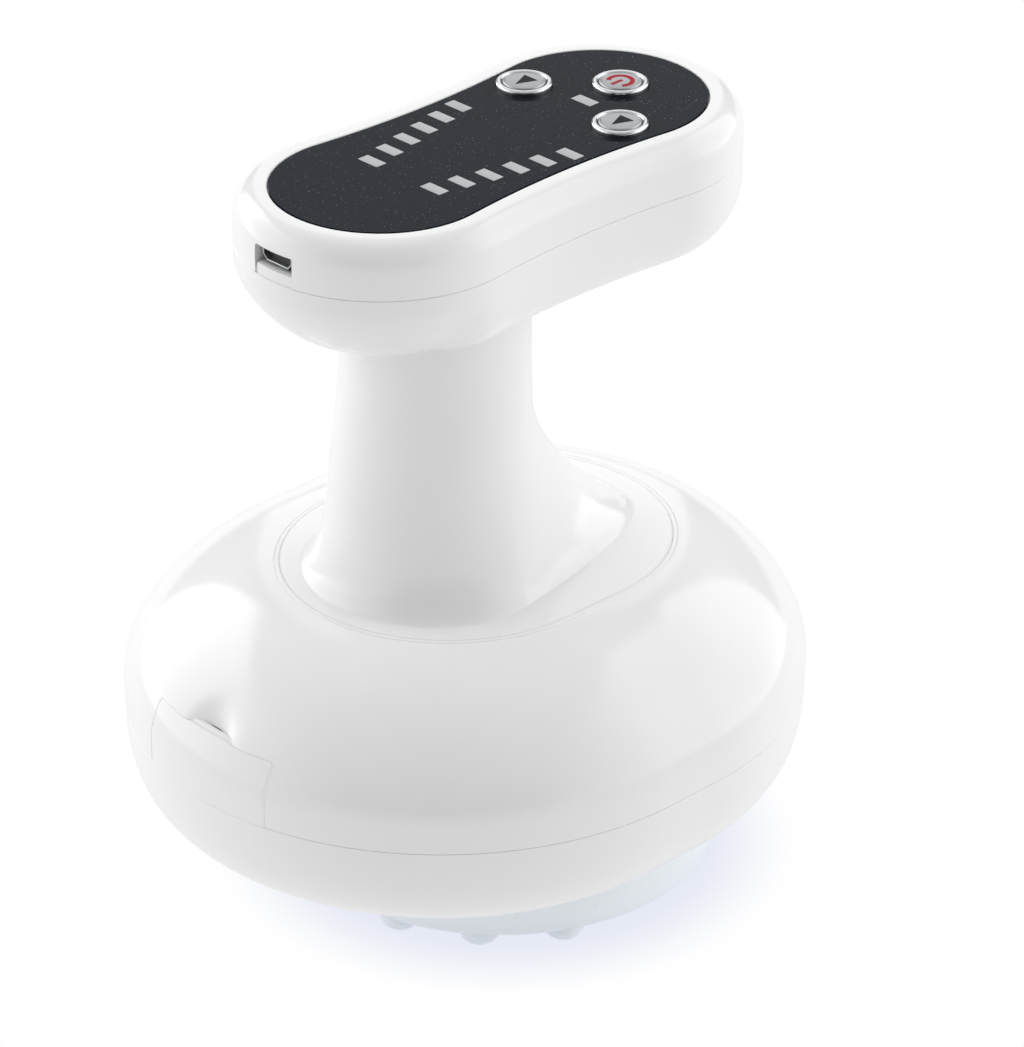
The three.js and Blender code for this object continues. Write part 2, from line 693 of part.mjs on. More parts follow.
function pumpCover() {
  const body = onPump(pumpRadius, [coverEnd, diaphragmEnd - seatGap]);
  const at = [pumpNippleY, pumpNippleLevel];
  const nipple = cylinder('x', nippleRadius, at, [pumpNippleTip, pumpX], tubeSides);
  const bore = cylinder('x', nippleRadius / 2, at, [pumpNippleTip - overrun, pumpX], tubeSides);
  return cut(join(body, nipple), bore);
}

function pumpStrap() {
  const inner = motorRadius + seatGap;
  const outer = inner + strapThickness;
  const from = motorStart + motorLength / 2 - strapWidth / 2;
  const span = [from, from + strapWidth];
  const through = [span[0] - overrun, span[1] + overrun];
  const arch = onPump(outer, span);
  const legs = box([pumpX - outer, pumpX + outer], span, [floorTop + seatGap, pumpLevel]);
  const hollow = onPump(inner, through);
  const between = box([pumpX - inner, pumpX + inner], through, [floorTop - overrun, pumpLevel]);
  return cut(join(arch, legs), hollow, between);
}

// Release valve: a block with a plunger that slides in from its +X side
const valveBottom = floorTop + valveLift;
const valvePlungerLevel = valveBottom + valveHeight / 3;
const valveNippleLevel = valveBottom + valveHeight * valveNippleShare;

function releaseValveBody() {
  const half = valveSize / 2;
  const span = [valveBottom, valveBottom + valveHeight];
  const block = box([valveX - half, valveX + half], [valveY - half, valveY + half], span);
  const bore = cylinder('x', plungerRadius + seatGap, [valveY, valvePlungerLevel],
    [valveX + half - plungerDepth - plungerTravel - seatGap, valveX + half + overrun]);
  const at = [valveY, valveNippleLevel];
  const tip = valveX - half - nippleLength;
  const nipple = cylinder('x', nippleRadius, at, [tip, valveX], tubeSides);
  const nippleBore = cylinder('x', nippleRadius / 2, at, [tip - overrun, valveX], tubeSides);
  return cut(join(block, nipple), bore, nippleBore);
}

function releaseValvePlunger() {
  const face = valveX + valveSize / 2;
  const headStart = face + plungerTravel + seatGap;
  return join(
    cylinder('x', plungerRadius, [valveY, valvePlungerLevel], [face - plungerDepth, headStart + overrun / 2]),
    cylinder('x', plungerHeadRadius, [valveY, valvePlungerLevel], [headStart, headStart + plungerTravel]),
  );
}

function batteryCell() {
  const half = batteryLength / 2;
  return join(
    cylinder('y', batteryRadius, [batteryX, batteryLevel], [-half, half - batteryTerminal], middleSides),
    cylinder('y', batteryRadius / 3, [batteryX, batteryLevel], [half - batteryTerminal - overrun, half]),
  );
}

function powerBoard() {
  const low = powerBoardTop - boardThickness;
  const half = powerBoardHalfWidth;
  const under = [low - plugHeight / 2, low + overrun / 2];
  const over = [powerBoardTop - overrun / 2, powerBoardTop + plugHeight];
  const chipX = powerBoardFarX - chipHalf - wall;
  const board = box([powerBoardNearX, powerBoardFarX], [-half, half], [low, powerBoardTop]);
  const coil = cylinder('z', chipHalf, [chipX, half / 2], under);
  const driver = box([neckMiddle - chipHalf, neckMiddle + chipHalf], [-chipHalf, chipHalf / 2], under);
  const wires = box([chipX, powerBoardFarX - wall], [wall - half, -half / 2], under);
  const plugX = [neckMiddle - plugHalfWidth, neckMiddle + plugHalfWidth];
  const cableSocket = box(plugX, [-plugHalfWidth, plugHalfWidth], over);
  return join(board, coil, driver, wires, cableSocket);
}

function suctionPort() {
  const flangeLow = floorTop + seatGap;
  const pipeTop = floorTop + plateThickness + nippleLength;
  const flange = cylinder('z', nippleRadius + wall / 2, [portX, 0], [flangeLow, flangeLow + plateThickness]);
  const pipe = cylinder('z', nippleRadius, [portX, 0], [bulbBase + seatGap, pipeTop], tubeSides);
  const bore = cylinder('z', nippleRadius / 2, [portX, 0], [bulbBase - overrun, ringLevel], tubeSides);
  return cut(join(flange, pipe), bore);
}

// The first points of a tube pushed over a nipple. They are in line, so the tube stays straight there.
function lead([x, y, z], [dx, dy, dz]) {
  const reaches = [0, nippleLength, nippleLength + tubeRadius];
  return reaches.map((reach) => [x + dx * reach, y + dy * reach, z + dz * reach]);
}

function suctionTubes() {
  const bore = nippleRadius + seatGap;
  const bend = 2 * tubeRadius;
  const fromPort = lead([portX, 0, floorTop + plateThickness + 3 * seatGap], [0, 0, 1]);
  const toFilter = lead([trayBack + seatGap, farNippleY, trayNippleLevel], [1, 0, 0]);
  const fromFilter = lead([trayBack + seatGap, nearNippleY, trayNippleLevel], [1, 0, 0]);
  const toPump = lead([pumpX - pumpRadius - seatGap, pumpNippleY, pumpNippleLevel], [-1, 0, 0]);
  const fromSide = lead([traySideX, trayFar + seatGap, trayNippleLevel], [0, 1, 0]);
  const toValve = lead([valveX - valveSize / 2 - seatGap, valveY, valveNippleLevel], [-1, 0, 0]);
  const rise = [
    [portX - bend / 2, farNippleY / 3, trayNippleLevel - 2 * bend],
    [portX - 2 * bend, farNippleY, trayNippleLevel - bend / 3],
  ];
  const sway = [
    [trayBack + nippleLength + 2 * bend, nearNippleY - bend / 2, trayNippleLevel],
    [pumpX - pumpRadius - nippleLength - 2 * bend, pumpNippleY + bend / 2, pumpNippleLevel],
  ];
  return {
    tube_port_to_filter: swept([...fromPort, ...rise, ...toFilter.reverse()], tubeRadius, bore),
    tube_filter_to_pump: swept([...fromFilter, ...sway, ...toPump.reverse()], tubeRadius, bore),
    tube_filter_to_valve: swept([...fromSide, ...toValve.reverse()], tubeRadius, bore),
  };
}

// Cup, warming plate and seal

function suctionCup() {
  const boreRadius = collarRadius + seatGap;
  const rimInner = cupRimRadius - cupRimWidth;
  const sideInner = cupShoulderRadius - cupSideThickness;
  const profile = [
    [rimInner, rimLevel],
    [cupRimRadius - cupSideThickness / 4, rimLevel],
    [cupRimRadius, rimLevel + cupSideThickness / 4],
    [cupRimRadius, rimLevel + cupSideThickness],
    [cupShoulderRadius, rimLevel + cupHeight / 2],
    [cupShoulderRadius, cupTopLevel],
    [sideInner, cupTopLevel],
    [sideInner, cupTopLevel - cupTopThickness],
    [boreRadius + cupSideThickness, cupTopLevel - cupTopThickness],
    [boreRadius + cupSideThickness, cupTopLevel],
    [boreRadius, cupTopLevel],
    [boreRadius, bulbBase - collarHeight],
    [rimInner + cupSideThickness / 2, rimLevel + cupSideThickness],
    [rimInner, rimLevel + cupSideThickness / 2],
    [rimInner, rimLevel],
  ].map(([r, z]) => new THREE.Vector2(r, z));
  const geometry = new THREE.LatheGeometry(profile, roundSides);
  geometry.rotateX(Math.PI / 2);
  geometry.translate(cupMiddle, 0, 0);
  const ring = solid(geometry);
  const table = box([-wide, wide], [-wide, wide], [-nubHeight, 0]);
  const nubs = nubPlaces().map(([x, y]) =>
    ellipsoid([x, y, rimLevel], [nubRadius, nubRadius, nubHeight + nubFlat], nubSides));
  return cut(join(ring, ...nubs), table);
}

function nubPlaces() {
  const places = [];
  for (let group = 0; group < nubGroups; group++) {
    for (let i = 0; i < nubsPerGroup; i++) {
      const turns = nubStartTurns + group / nubGroups + (i - (nubsPerGroup - 1) / 2) * nubSpacingTurns;
      const angle = turns * 2 * Math.PI;
      const reach = cupRimRadius - nubInset;
      places.push([cupMiddle + reach * Math.cos(angle), reach * Math.sin(angle)]);
    }
  }
  return places;
}

function warmingPlate() {
  const low = bulbBase - collarHeight + seatGap / 2;
  const radius = collarRadius - collarWall - seatGap;
  const plate = cylinder('z', radius, [cupMiddle, 0], [low, low + plateThickness], roundSides);
  const holes = Array.from({ length: warmHoleCount }, (_, i) => {
    const angle = i * 2 * Math.PI / warmHoleCount;
    const reach = 3 * nippleRadius;
    return cylinder('z', nippleRadius, [cupMiddle + reach * Math.cos(angle), reach * Math.sin(angle)],
      [low - overrun, low + plateThickness + overrun], tubeSides);
  });
  return cut(plate, ...holes);
}

// Neck with its foot and dome. Its own frame stands on the ring groove's level at the neck's axis.

const ringFromNeck = ringMiddle - neckMiddle;

// How high the flare climbs in a direction: little at the -X side, much at the +X side
function flareHeight(angle) {
  return flareNear + (flareFar - flareNear) * ((1 + Math.cos(angle)) / 2) ** flareLeanShare;
}

// A point of the column at a level above the ring groove. The column widens and leans a little downwards.
function columnPoint(angle, z, inset) {
  const full = footRise + neckHeight;
  const share = Math.max(full - columnStraight - z, 0) / (neckHeight - columnStraight);
  const radius = columnRadius + columnSpread * share - inset;
  return [radius * Math.cos(angle) - columnLean * share, radius * Math.sin(angle), z];
}

// A point of the flare at a share of the way from the foot's edge (0) to the column (1), thinned by an inset
function flarePoint(angle, share, inset) {
  const cos = Math.cos(angle);
  const sin = Math.sin(angle);
  const tipward = cos > 0;
  const footX = tipward ? footReach * cos ** footTaperShare : footRadius * cos;
  const footY = footRadius * (tipward ? Math.sign(sin) * Math.abs(sin) ** footBluntShare : sin);
  const [columnX, columnY] = columnPoint(angle, footRise + flareHeight(angle), 0);
  const { across } = quarter(share, flareFootShare);
  const { down } = quarter(share, flareRoundShare);
  const x = footX + (columnX - footX) * across;
  const y = footY + (columnY - footY) * across;
  const thinned = 1 - inset * across / Math.hypot(x, y);
  return [x * thinned, y * thinned, footRise + flareHeight(angle) * down - inset * (1 - down)];
}

// The flare and the column as one body, from a flat underside up into the handle
function neckBody(inset, bottom, top, { sides, levels } = outside) {
  const angles = Array.from({ length: sides }, (_, i) => 2 * Math.PI * i / sides);
  const flareSteps = levels;
  const columnSteps = levels / 2;
  const full = footRise + neckHeight;
  const rows = [angles.map((angle) => [...flarePoint(angle, 0, inset).slice(0, 2), bottom])];
  for (let i = 0; i <= flareSteps; i++) {
    rows.push(angles.map((angle) => flarePoint(angle, i / flareSteps, inset)));
  }
  for (let i = 1; i <= columnSteps; i++) {
    rows.push(angles.map((angle) => {
      const start = footRise + flareHeight(angle);
      return columnPoint(angle, start + (full - start) * i / columnSteps, inset);
    }));
  }
  rows.push(rows.at(-1).map(([x, y]) => [x, y, top]));
  return rowsLoft(rows);
}

function dome(inset, bottom, { lobeSteps, levels } = outside) {
  const edge = ringRadius - seatGap - inset;
  const rings = [{ z: bottom, points: stadium(edge, ringStretch, ringFromNeck, lobeSteps) }];
  const steps = levels / 2;
  for (let i = 0; i <= steps; i++) {
    const { across, down } = quarter(1 - i / steps, domeRoundShare);
    const points = stadium(edge - domeShoulder * (1 - across), ringStretch, ringFromNeck, lobeSteps);
    rings.push({ z: footRise * (1 - down) - inset, points });
  }
  return loft(rings);
}

const neckScrewPlaces = Array.from({ length: neckScrewCount }, (_, i) => {
  const angle = (i * 2 + 1) * Math.PI / neckScrewCount;
  return [neckScrewCircle * Math.cos(angle), neckScrewCircle * Math.sin(angle)];
});

function neckCap() {
  const top = columnTop - ringLevel;
  const edge = -ringRecess + seatGap;
  const outer = join(dome(0, edge), neckBody(0, edge, top));
  const low = edge - overrun - neckWall;
  const inner = join(dome(neckWall, low, inside), neckBody(neckWall, low, top + overrun, inside));
  const bosses = neckScrewPlaces.map(([x, y]) =>
    cylinder('z', bossRadius, [x, y], [top - neckBossDepth, top]).intersect(outer));
  const footBosses = footScrewPlaces.map(([x, y]) =>
    cylinder('z', bossRadius, [x - neckMiddle, y], [edge, footBossHeight]).intersect(outer));
  const pilots = neckScrewPlaces.map(([x, y]) =>
    cylinder('z', screwRadius + seatGap, [x, y], [top - neckBossDepth + overrun, top + overrun]));
  const footSpan = [edge - overrun, footBossHeight - wall / 2];
  const footPilots = footScrewPlaces.map(([x, y]) =>
    cylinder('z', screwRadius + seatGap, [x - neckMiddle, y], footSpan));
  return cut(join(outer.subtract(inner), ...bosses, ...footBosses), ...pilots, ...footPilots);
}

// Handle. Its own frame has the middle of the panel's face at its origin.

// The rounding of the underside at a place along the handle
function roundingAt(x) {
  const along = Math.min(Math.max((-x - softFrom) / softSpan, 0), 1);
  const share = along * along * (3 - 2 * along);
  const blend = (firm, soft) => firm + (soft - firm) * share;
  return {
    width: blend(baseRoundWidth, softRoundWidth),
    height: blend(baseRoundHeight, softRoundHeight),
    roundness: blend(baseRoundShare, softRoundShare),
  };
}

function handleBody(inset, detail = outside) {
  const rows = [];
  const steps = detail.levels - 1;
  const edge = peanut(rimWidth - inset, detail);
  const towards = peanut(rimWidth - inset - 1, detail);
  for (let i = 0; i <= steps; i++) {
    rows.push(edge.map(([x, y], k) => {
      const { width, height, roundness } = roundingAt(x);
      const { across, down } = quarter(i / steps, roundness);
      const inward = width * (1 - across);
      const [ix, iy] = towards[k];
      return [x + (ix - x) * inward, y + (iy - y) * inward, -handleHeight + inset + height * down];
    }));
  }
  for (let i = steps; i >= 0; i--) {
    const { across, down } = quarter(i / steps, topRoundShare);
    const points = peanut(rimWidth - inset - topRoundWidth * (1 - across), detail);
    rows.push(points.map(([x, y]) => [x, y, -inset - topRoundHeight * down]));
  }
  return rowsLoft(rows);
}

const handleOuter = handleBody(0);
const handleInner = handleBody(wall, inside);
const handleRoom = handleBody(wall + seatGap, inside);
const neckFromHandle = neckMiddle - handleMiddle;
const long = 2 * (lobeStretch + lobeRadius + rimWidth);
const bedTop = -panelThickness - seatGap;
const bedBottom = bedTop - panelBed;
const boardTop = -boardDrop;
const boardBottom = boardTop - boardThickness;
const wallEnd = -(lobeStretch + lobeRadius + rimWidth);
const handleScrewTop = bedTop - headSink + seatGap + screwHeadHeight;
const handleScrewPlaces = [[-handleScrewX, handleScrewNearY], [handleScrewX, handleScrewFarY]]
  .flatMap(([x, y]) => [[x, y], [x, -y]]);
const buttonPlaces = {
  power: [powerX, 0],
  suction: [sideButtonX, sideButtonY],
  heat: [sideButtonX, -sideButtonY],
};
const barRows = {
  power: [[powerBarX, 0]],
  suction: barRow(1),
  heat: barRow(-1),
};

function barRow(side) {
  return Array.from({ length: barCount }, (_, i) => {
    const share = i / (barCount - 1);
    const y = rowStartY + (rowEndY - rowStartY) * share;
    return [rowStartX + (rowEndX - rowStartX) * share, side * y];
  });
}

// Rods at several places, which make pins or cut holes
function rods(places, radius, span, sides = smallSides) {
  return places.map((at) => cylinder('z', radius, at, span, sides));
}

function bar([x, y], extra, [low, high]) {
  const halfX = barWidth / 2 + extra;
  const halfY = barLength / 2 + extra;
  return box([x - halfX, x + halfX], [y - halfY, y + halfY], [low, high]);
}

function plate(offset, [low, high]) {
  return loft([{ z: low, points: peanut(offset) }, { z: high, points: peanut(offset) }]);
}

function handleUpperShell() {
  const above = box([-long, long], [-long, long], [-seamDrop + seatGap / 2, overrun]);
  const recess = plate(seatGap / 2, [bedTop, overrun]);
  const bed = plate(-wall, [bedBottom, bedTop + overrun / 2]);
  const bosses = rods(handleScrewPlaces, bossRadius, [boardTop + seatGap, bedTop]);
  const skin = join(handleOuter.subtract(handleInner), bed, ...bosses).intersect(above);
  const through = [bedBottom - overrun, overrun];
  const buttonWays = rods(Object.values(buttonPlaces), buttonRadius + seatGap, through, middleSides);
  const barWays = Object.values(barRows).flat().map((at) => bar(at, seatGap, through));
  const shanks = rods(handleScrewPlaces, screwRadius + seatGap, [-seamDrop, overrun]);
  const heads = rods(handleScrewPlaces, screwHeadRadius + seatGap, [bedTop - headSink, overrun]);
  const port = box([wallEnd - overrun, wallEnd + socketInset + socketDepth], [-portHalfWidth, portHalfWidth],
    [-seamDrop - overrun, -portTop]);
  return cut(skin, recess, ...buttonWays, ...barWays, ...shanks, ...heads, port);
}

function handleLowerShell() {
  const below = box([-long, long], [-long, long], [-handleHeight - overrun, -seamDrop - seatGap / 2]);
  const floor = -handleHeight + wall;
  const bossTop = -handleHeight + neckSpigot;
  const wayRadius = columnRadius + seatGap;
  const axis = [neckFromHandle, 0];
  const neckBoss = cylinder('z', wayRadius + clampOverlap, axis, [-handleHeight, bossTop], roundSides);
  const bosses = rods(handleScrewPlaces, bossRadius, [floor - wall / 2, boardBottom - seatGap]);
  const standing = [neckBoss, ...bosses].map((boss) => boss.intersect(handleOuter));
  const tongue = box([wallEnd, wallEnd + wall], [-portHalfWidth + seatGap, portHalfWidth - seatGap],
    [-seamDrop - wall, -seamDrop + tongueHeight]).intersect(handleOuter);
  const skin = join(handleOuter.subtract(handleInner).intersect(below), ...standing, tongue);
  const neckWay = cylinder('z', wayRadius, axis, [-handleHeight - overrun, bossTop + overrun], roundSides);
  const pilotLow = handleScrewTop - screwHeadHeight - handleScrewLength - overrun;
  const pilots = rods(handleScrewPlaces, screwRadius + seatGap, [pilotLow, boardBottom]);
  return cut(skin, neckWay, ...pilots);
}

function controlPanel() {
  const through = [-panelThickness - overrun, overrun];
  const holeRadius = buttonRadius + 2 * seatGap + bezelWidth;
  const holes = rods(Object.values(buttonPlaces), holeRadius, through, middleSides);
  const windows = Object.values(barRows).flat().map((at) => bar(at, seatGap, through));
  return cut(plate(-seatGap / 2, [-panelThickness, 0]), ...holes, ...windows);
}

function button() {
  const flangeTop = bedBottom - seatGap;
  const flangeLow = flangeTop - buttonFlangeThickness;
  const capLow = flangeTop - buttonFlangeThickness / 2;
  const cap = cylinder('z', buttonRadius, [0, 0], [capLow, buttonProud], middleSides);
  const flange = cylinder('z', buttonRadius + buttonFlange, [0, 0], [flangeLow, flangeTop], middleSides);
  return join(cap, flange);
}

function bezel() {
  const inner = buttonRadius + seatGap;
  const topRadius = inner + bezelWidth * bezelSlopeShare;
  const span = [bedTop + seatGap, bezelProud];
  const ring = cylinder('z', inner + bezelWidth, [0, 0], span, middleSides, topRadius);
  return cut(ring, cylinder('z', inner, [0, 0], [bedTop - overrun, bezelProud + overrun], middleSides));
}

function lightGuide(places) {
  const stripTop = bedBottom - seatGap;
  const bars = places.map((at) => bar(at, 0, [stripTop - guideThickness / 2, 0]));
  const first = places[0];
  const last = places.at(-1);
  const strip = new THREE.Shape();
  const half = barLength / 3;
  strip.moveTo(last[0] - barWidth / 2, last[1] - half);
  strip.lineTo(first[0] + barWidth / 2, first[1] - half);
  strip.lineTo(first[0] + barWidth / 2, first[1] + half);
  strip.lineTo(last[0] - barWidth / 2, last[1] + half);
  const geometry = new THREE.ExtrudeGeometry(strip, { depth: guideThickness, bevelEnabled: false });
  geometry.translate(0, 0, stripTop - guideThickness);
  return join(solid(geometry), ...bars);
}

function controlBoard() {
  const offset = rimWidth - wall - boardMargin;
  const board = plate(offset, [boardBottom, boardTop]);
  const half = plugHalfWidth;
  const plugSpan = [boardBottom - plugHeight, boardBottom + boardThickness / 2];
  const chipSpan = [boardTop - boardThickness / 2, boardTop + boardThickness / 2];
  const plug = box([neckFromHandle - half, neckFromHandle + half], [-half, half], plugSpan);
  const chip = box([neckFromHandle + 3 * half, neckFromHandle + 5 * half], [-half, half], chipSpan);
  const holes = rods(handleScrewPlaces, screwRadius + seatGap, [boardBottom - overrun, boardTop + overrun]);
  return cut(join(board, plug, chip), ...holes);
}

function pushSwitch() {
  const low = boardTop + seatGap;
  const plungerTop = bedBottom - seatGap - buttonFlangeThickness - buttonTravel - seatGap / 3;
  const half = switchSize / 2;
  const body = box([-half, half], [-half, half], [low, plungerTop - switchPlungerHeight]);
  const stem = cylinder('z', switchPlungerRadius, [0, 0], [plungerTop - 2 * switchPlungerHeight, plungerTop]);
  return join(body, stem);
}

function usbSocket() {
  const front = wallEnd + socketInset;
  const low = boardTop + seatGap;
  const high = low + socketHeight;
  const back = front + socketDepth;
  const mouthHalf = socketHalfWidth - socketWall;
  const shell = box([front, back], [-socketHalfWidth, socketHalfWidth], [low, high]);
  const mouthSpan = [low + socketWall, high - socketWall];
  const mouth = box([front - overrun, back - socketWall], [-mouthHalf, mouthHalf], mouthSpan);
  const contactHalf = socketHalfWidth / 2;
  const middle = low + socketHeight / 2;
  const contacts = box([front + socketWall, back - socketWall / 2], [-contactHalf, contactHalf],
    [middle - socketWall / 2, middle + socketWall / 2]);
  return join(cut(shell, mouth), contacts);
}

function clampPlate() {
  const low = -handleHeight + neckSpigot + seatGap;
  const radius = columnRadius + clampOverlap;
  const through = [low - overrun, low + clampThickness + overrun];
  const disc = cylinder('z', radius, [neckFromHandle, 0], [low, low + clampThickness], roundSides);
  const bore = cylinder('z', clampBoreRadius, [neckFromHandle, 0], through, middleSides);
  const places = neckScrewPlaces.map(([x, y]) => [neckFromHandle + x, y]);
  const holes = rods(places, screwRadius + seatGap, through);
  return cut(disc.intersect(handleRoom), bore, ...holes);
}

// The cable between the boards, straight up the neck
function neckCable() {
  const low = powerBoardTop + plugHeight + seatGap;
  const high = panelLevel + boardBottom - plugHeight - seatGap;
  const sway = cableRadius * 2;
  const middle = (low + high) / 2;
  return swept([
    [0, 0, low],
    [0, 0, low + sway],
    [sway, 0, middle],
    [0, 0, high - sway],
    [0, 0, high],
  ], cableRadius);
}

// The scene graph

const massager = new THREE.Group();

const handle = new THREE.Group();
handle.position.set(handleMiddle, 0, panelLevel);
handle.add(
  piece('handle_upper_shell', handleUpperShell(), whitePlastic),
  piece('handle_lower_shell', handleLowerShell(), whitePlastic),
  piece('control_panel', controlPanel(), blackGloss),
  piece('control_board', controlBoard(), circuitBoard),
  piece('usb_socket', usbSocket(), satinMetal),
  piece('neck_clamp_plate', clampPlate(), greyPlastic),
);
for (const [name, [x, y]] of Object.entries(buttonPlaces)) {
  handle.add(
    piece(`${name}_button`, button(), satinMetal, [x, y, 0]),
    piece(`${name}_button_bezel`, bezel(), brightMetal, [x, y, 0]),
    piece(`${name}_switch`, pushSwitch(), blackPlastic, [x, y, 0]),
    piece(`${name}_light_guide`, lightGuide(barRows[name]), lightBar),
  );
}
handleScrewPlaces.forEach(([x, y], i) => {
  handle.add(piece(`handle_screw_${i + 1}`, screw(handleScrewLength), satinMetal, [x, y, handleScrewTop]));
});
neckScrewPlaces.forEach(([x, y], i) => {
  const top = -handleHeight + neckSpigot + seatGap + clampThickness + seatGap + screwHeadHeight;
  const place = [neckFromHandle + x, y, top];
  handle.add(piece(`neck_screw_${i + 1}`, screw(neckBossDepth * neckScrewShare), satinMetal, place));
});

const neck = new THREE.Group();
neck.position.set(neckMiddle, 0, ringLevel);
neck.add(piece('neck_cap', neckCap(), whitePlastic));

const cable = piece('neck_cable', neckCable(), blackPlastic, [neckMiddle, 0, 0]);

const housing = new THREE.Group();
housing.add(
  piece('bulb_upper_shell', bulbUpperShell(), whitePlastic),
  piece('bulb_lower_shell', bulbLowerShell(), whitePlastic),
  piece('filter_door', filterDoor(), whitePlastic),
  piece('filter_tray', filterTray(), greyPlastic),
  piece('filter_pad', filterPad(), foam),
  piece('pump_motor', pumpMotor(), satinMetal),
  piece('pump_eccentric', pumpEccentric(), brightMetal),
  piece('pump_head', pumpHead(), blackPlastic),
  piece('pump_diaphragm', pumpDiaphragm(), rubber),
  piece('pump_cover', pumpCover(), blackPlastic),
  piece('pump_strap', pumpStrap(), greyPlastic),
  piece('release_valve_body', releaseValveBody(), blackPlastic),
  piece('release_valve_plunger', releaseValvePlunger(), satinMetal),
  piece('battery_cell', batteryCell(), cellWrap),
  piece('power_board', powerBoard(), circuitBoard),
  piece('suction_port', suctionPort(), greyPlastic),
);
for (const [name, body] of Object.entries(suctionTubes())) housing.add(piece(name, body, clearTube));
baseScrewPlaces.forEach(([x, y], i) => {
  const mesh = piece(`base_screw_${i + 1}`, screw(baseScrewLength), satinMetal, [x, y, bulbBase]);
  mesh.rotation.x = Math.PI;
  housing.add(mesh);
});
footScrewPlaces.forEach(([x, y], i) => {
  const low = ringLevel - wall - seatGap - screwHeadHeight;
  const mesh = piece(`foot_screw_${i + 1}`, screw(footBossHeight + wall / 2), satinMetal, [x, y, low]);
  mesh.rotation.x = Math.PI;
  housing.add(mesh);
});

const cup = new THREE.Group();
cup.add(
  piece('suction_cup', suctionCup(), frosted),
  piece('warming_plate', warmingPlate(), satinMetal),
  piece('cup_seal', sealRing(sealRadius), rubber),
);

massager.add(handle, neck, cable, housing, cup);

export default massager;
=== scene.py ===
# Looks of an electric cupping massager, built round its CAD frame.
# Lengths are named in millimetres and turned into metres where a mesh is made.

import json
import math

import bmesh
import bpy
import numpy as np
from mathutils import Matrix, Vector


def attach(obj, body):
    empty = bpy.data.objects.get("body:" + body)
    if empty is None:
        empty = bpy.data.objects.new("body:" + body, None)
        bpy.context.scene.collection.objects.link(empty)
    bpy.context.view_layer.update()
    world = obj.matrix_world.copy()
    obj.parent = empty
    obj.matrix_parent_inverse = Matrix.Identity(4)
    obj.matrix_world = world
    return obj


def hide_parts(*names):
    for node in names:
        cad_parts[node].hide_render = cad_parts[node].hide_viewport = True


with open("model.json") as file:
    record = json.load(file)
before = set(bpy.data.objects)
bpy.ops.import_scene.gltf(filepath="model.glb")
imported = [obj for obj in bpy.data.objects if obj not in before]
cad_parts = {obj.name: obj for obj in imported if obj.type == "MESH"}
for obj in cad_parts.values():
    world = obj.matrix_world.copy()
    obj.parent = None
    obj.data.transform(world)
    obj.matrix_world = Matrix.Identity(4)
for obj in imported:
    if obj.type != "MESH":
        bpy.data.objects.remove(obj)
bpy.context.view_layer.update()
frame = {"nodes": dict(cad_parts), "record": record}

MM = 0.001

# Sizes that the frame was built with
SEAT_GAP = 0.3
WALL = 2.4

BULB_RADIUS = 59.4
BULB_STRETCH = 5.7
BULB_RISE = 21.6
BULB_DROP = 26.9
BULB_BASE_RADIUS = 27.0
UPPER_ROUND = 1.66
LOWER_ROUND = 3.64
BULB_BASE = 18.0
EQUATOR = BULB_BASE + BULB_DROP
PARTING = EQUATOR - 5.5
RING_LEVEL = EQUATOR + BULB_RISE

RING_RADIUS = 31.4
RING_STRETCH = 7.0
RING_MIDDLE = 2.85
RING_RECESS = 1.1
RING_GAP = 0.11  # width of the groove that shows
GROOVE_DEPTH = 0.07  # how deep the groove goes before the foot's rim closes it
FOOT_RISE = 0.6
RIM_WIDTH_IN = 9.0  # width over which the foot's rim rises
FOOT_MARGIN = 4.15  # from the groove to the foot at its near side and at its tip
FOOT_RADIUS = RING_RADIUS - 7.35
NECK_MIDDLE = RING_MIDDLE - RING_STRETCH - RING_RADIUS + FOOT_MARGIN + FOOT_RADIUS
FOOT_REACH = RING_MIDDLE + RING_STRETCH + RING_RADIUS - FOOT_MARGIN - NECK_MIDDLE
FOOT_TAPER = 1.88
FOOT_BLUNT = 0.63
NECK_HEIGHT = 53.6
COLUMN_RADIUS = 17.4
COLUMN_STRAIGHT = 13.1
COLUMN_SPREAD = 2.7
COLUMN_LEAN = 2.4
FLARE_NEAR = 17.3
FLARE_FAR = 35.4
FLARE_LEAN = 0.73
FLARE_FOOT = 1.22  # crisp foot at the tip's side
FLARE_SOFT = 1.7  # soft foot at the near side
FLARE_ROUND = 1.6
SOFT_GROWTH = 1.2  # how much wider the soft foot spreads
STRIP_WIDTH = 2.6  # the gently sloping strip at the tip of the flare's foot
STRIP_SINK = 0.45  # how much lower the strip lies than the flare would
STRIP_POWER = 4
STRIP_SPAN = (0.5, 0.85)
NECK_TOP_HIDDEN = 4.2  # how far the column goes on inside the handle

HANDLE_MIDDLE = 6.9
LOBE_RADIUS = 20.1
LOBE_STRETCH = 26.9
WAIST_HALF = 18.35
RIM_WIDTH = 6.35
HANDLE_HEIGHT = 26.8
PANEL_LEVEL = RING_LEVEL + FOOT_RISE + NECK_HEIGHT + HANDLE_HEIGHT
SEAM_DROP = 10.2
TOP_ROUND = (5.3, 7.0, 2.4)  # width, height and power of the rim's rounding
BASE_ROUND = (9.4, 11.8, 1.85)  # the same for the underside
SOFT_ROUND = (13.2, 13.6, 1.5)  # the underside at the port's end, which is softer
SOFT_FROM = 21.0
SOFT_SPAN = 13.0
PANEL_THICKNESS = 1.0
PORT_HALF = 4.75
PORT_TOP = 4.5
TONGUE_HEIGHT = 2.1
TONGUE_INSET = 0.3
HANDLE_END = LOBE_STRETCH + LOBE_RADIUS + RIM_WIDTH
SOCKET_FRONT = -HANDLE_END + 1.4
SOCKET_DEPTH = 5.4
SOCKET_HALF = 3.75
SOCKET_TOP = -4.9
SOCKET_HEIGHT = 2.55
SOCKET_CUT = 1.1
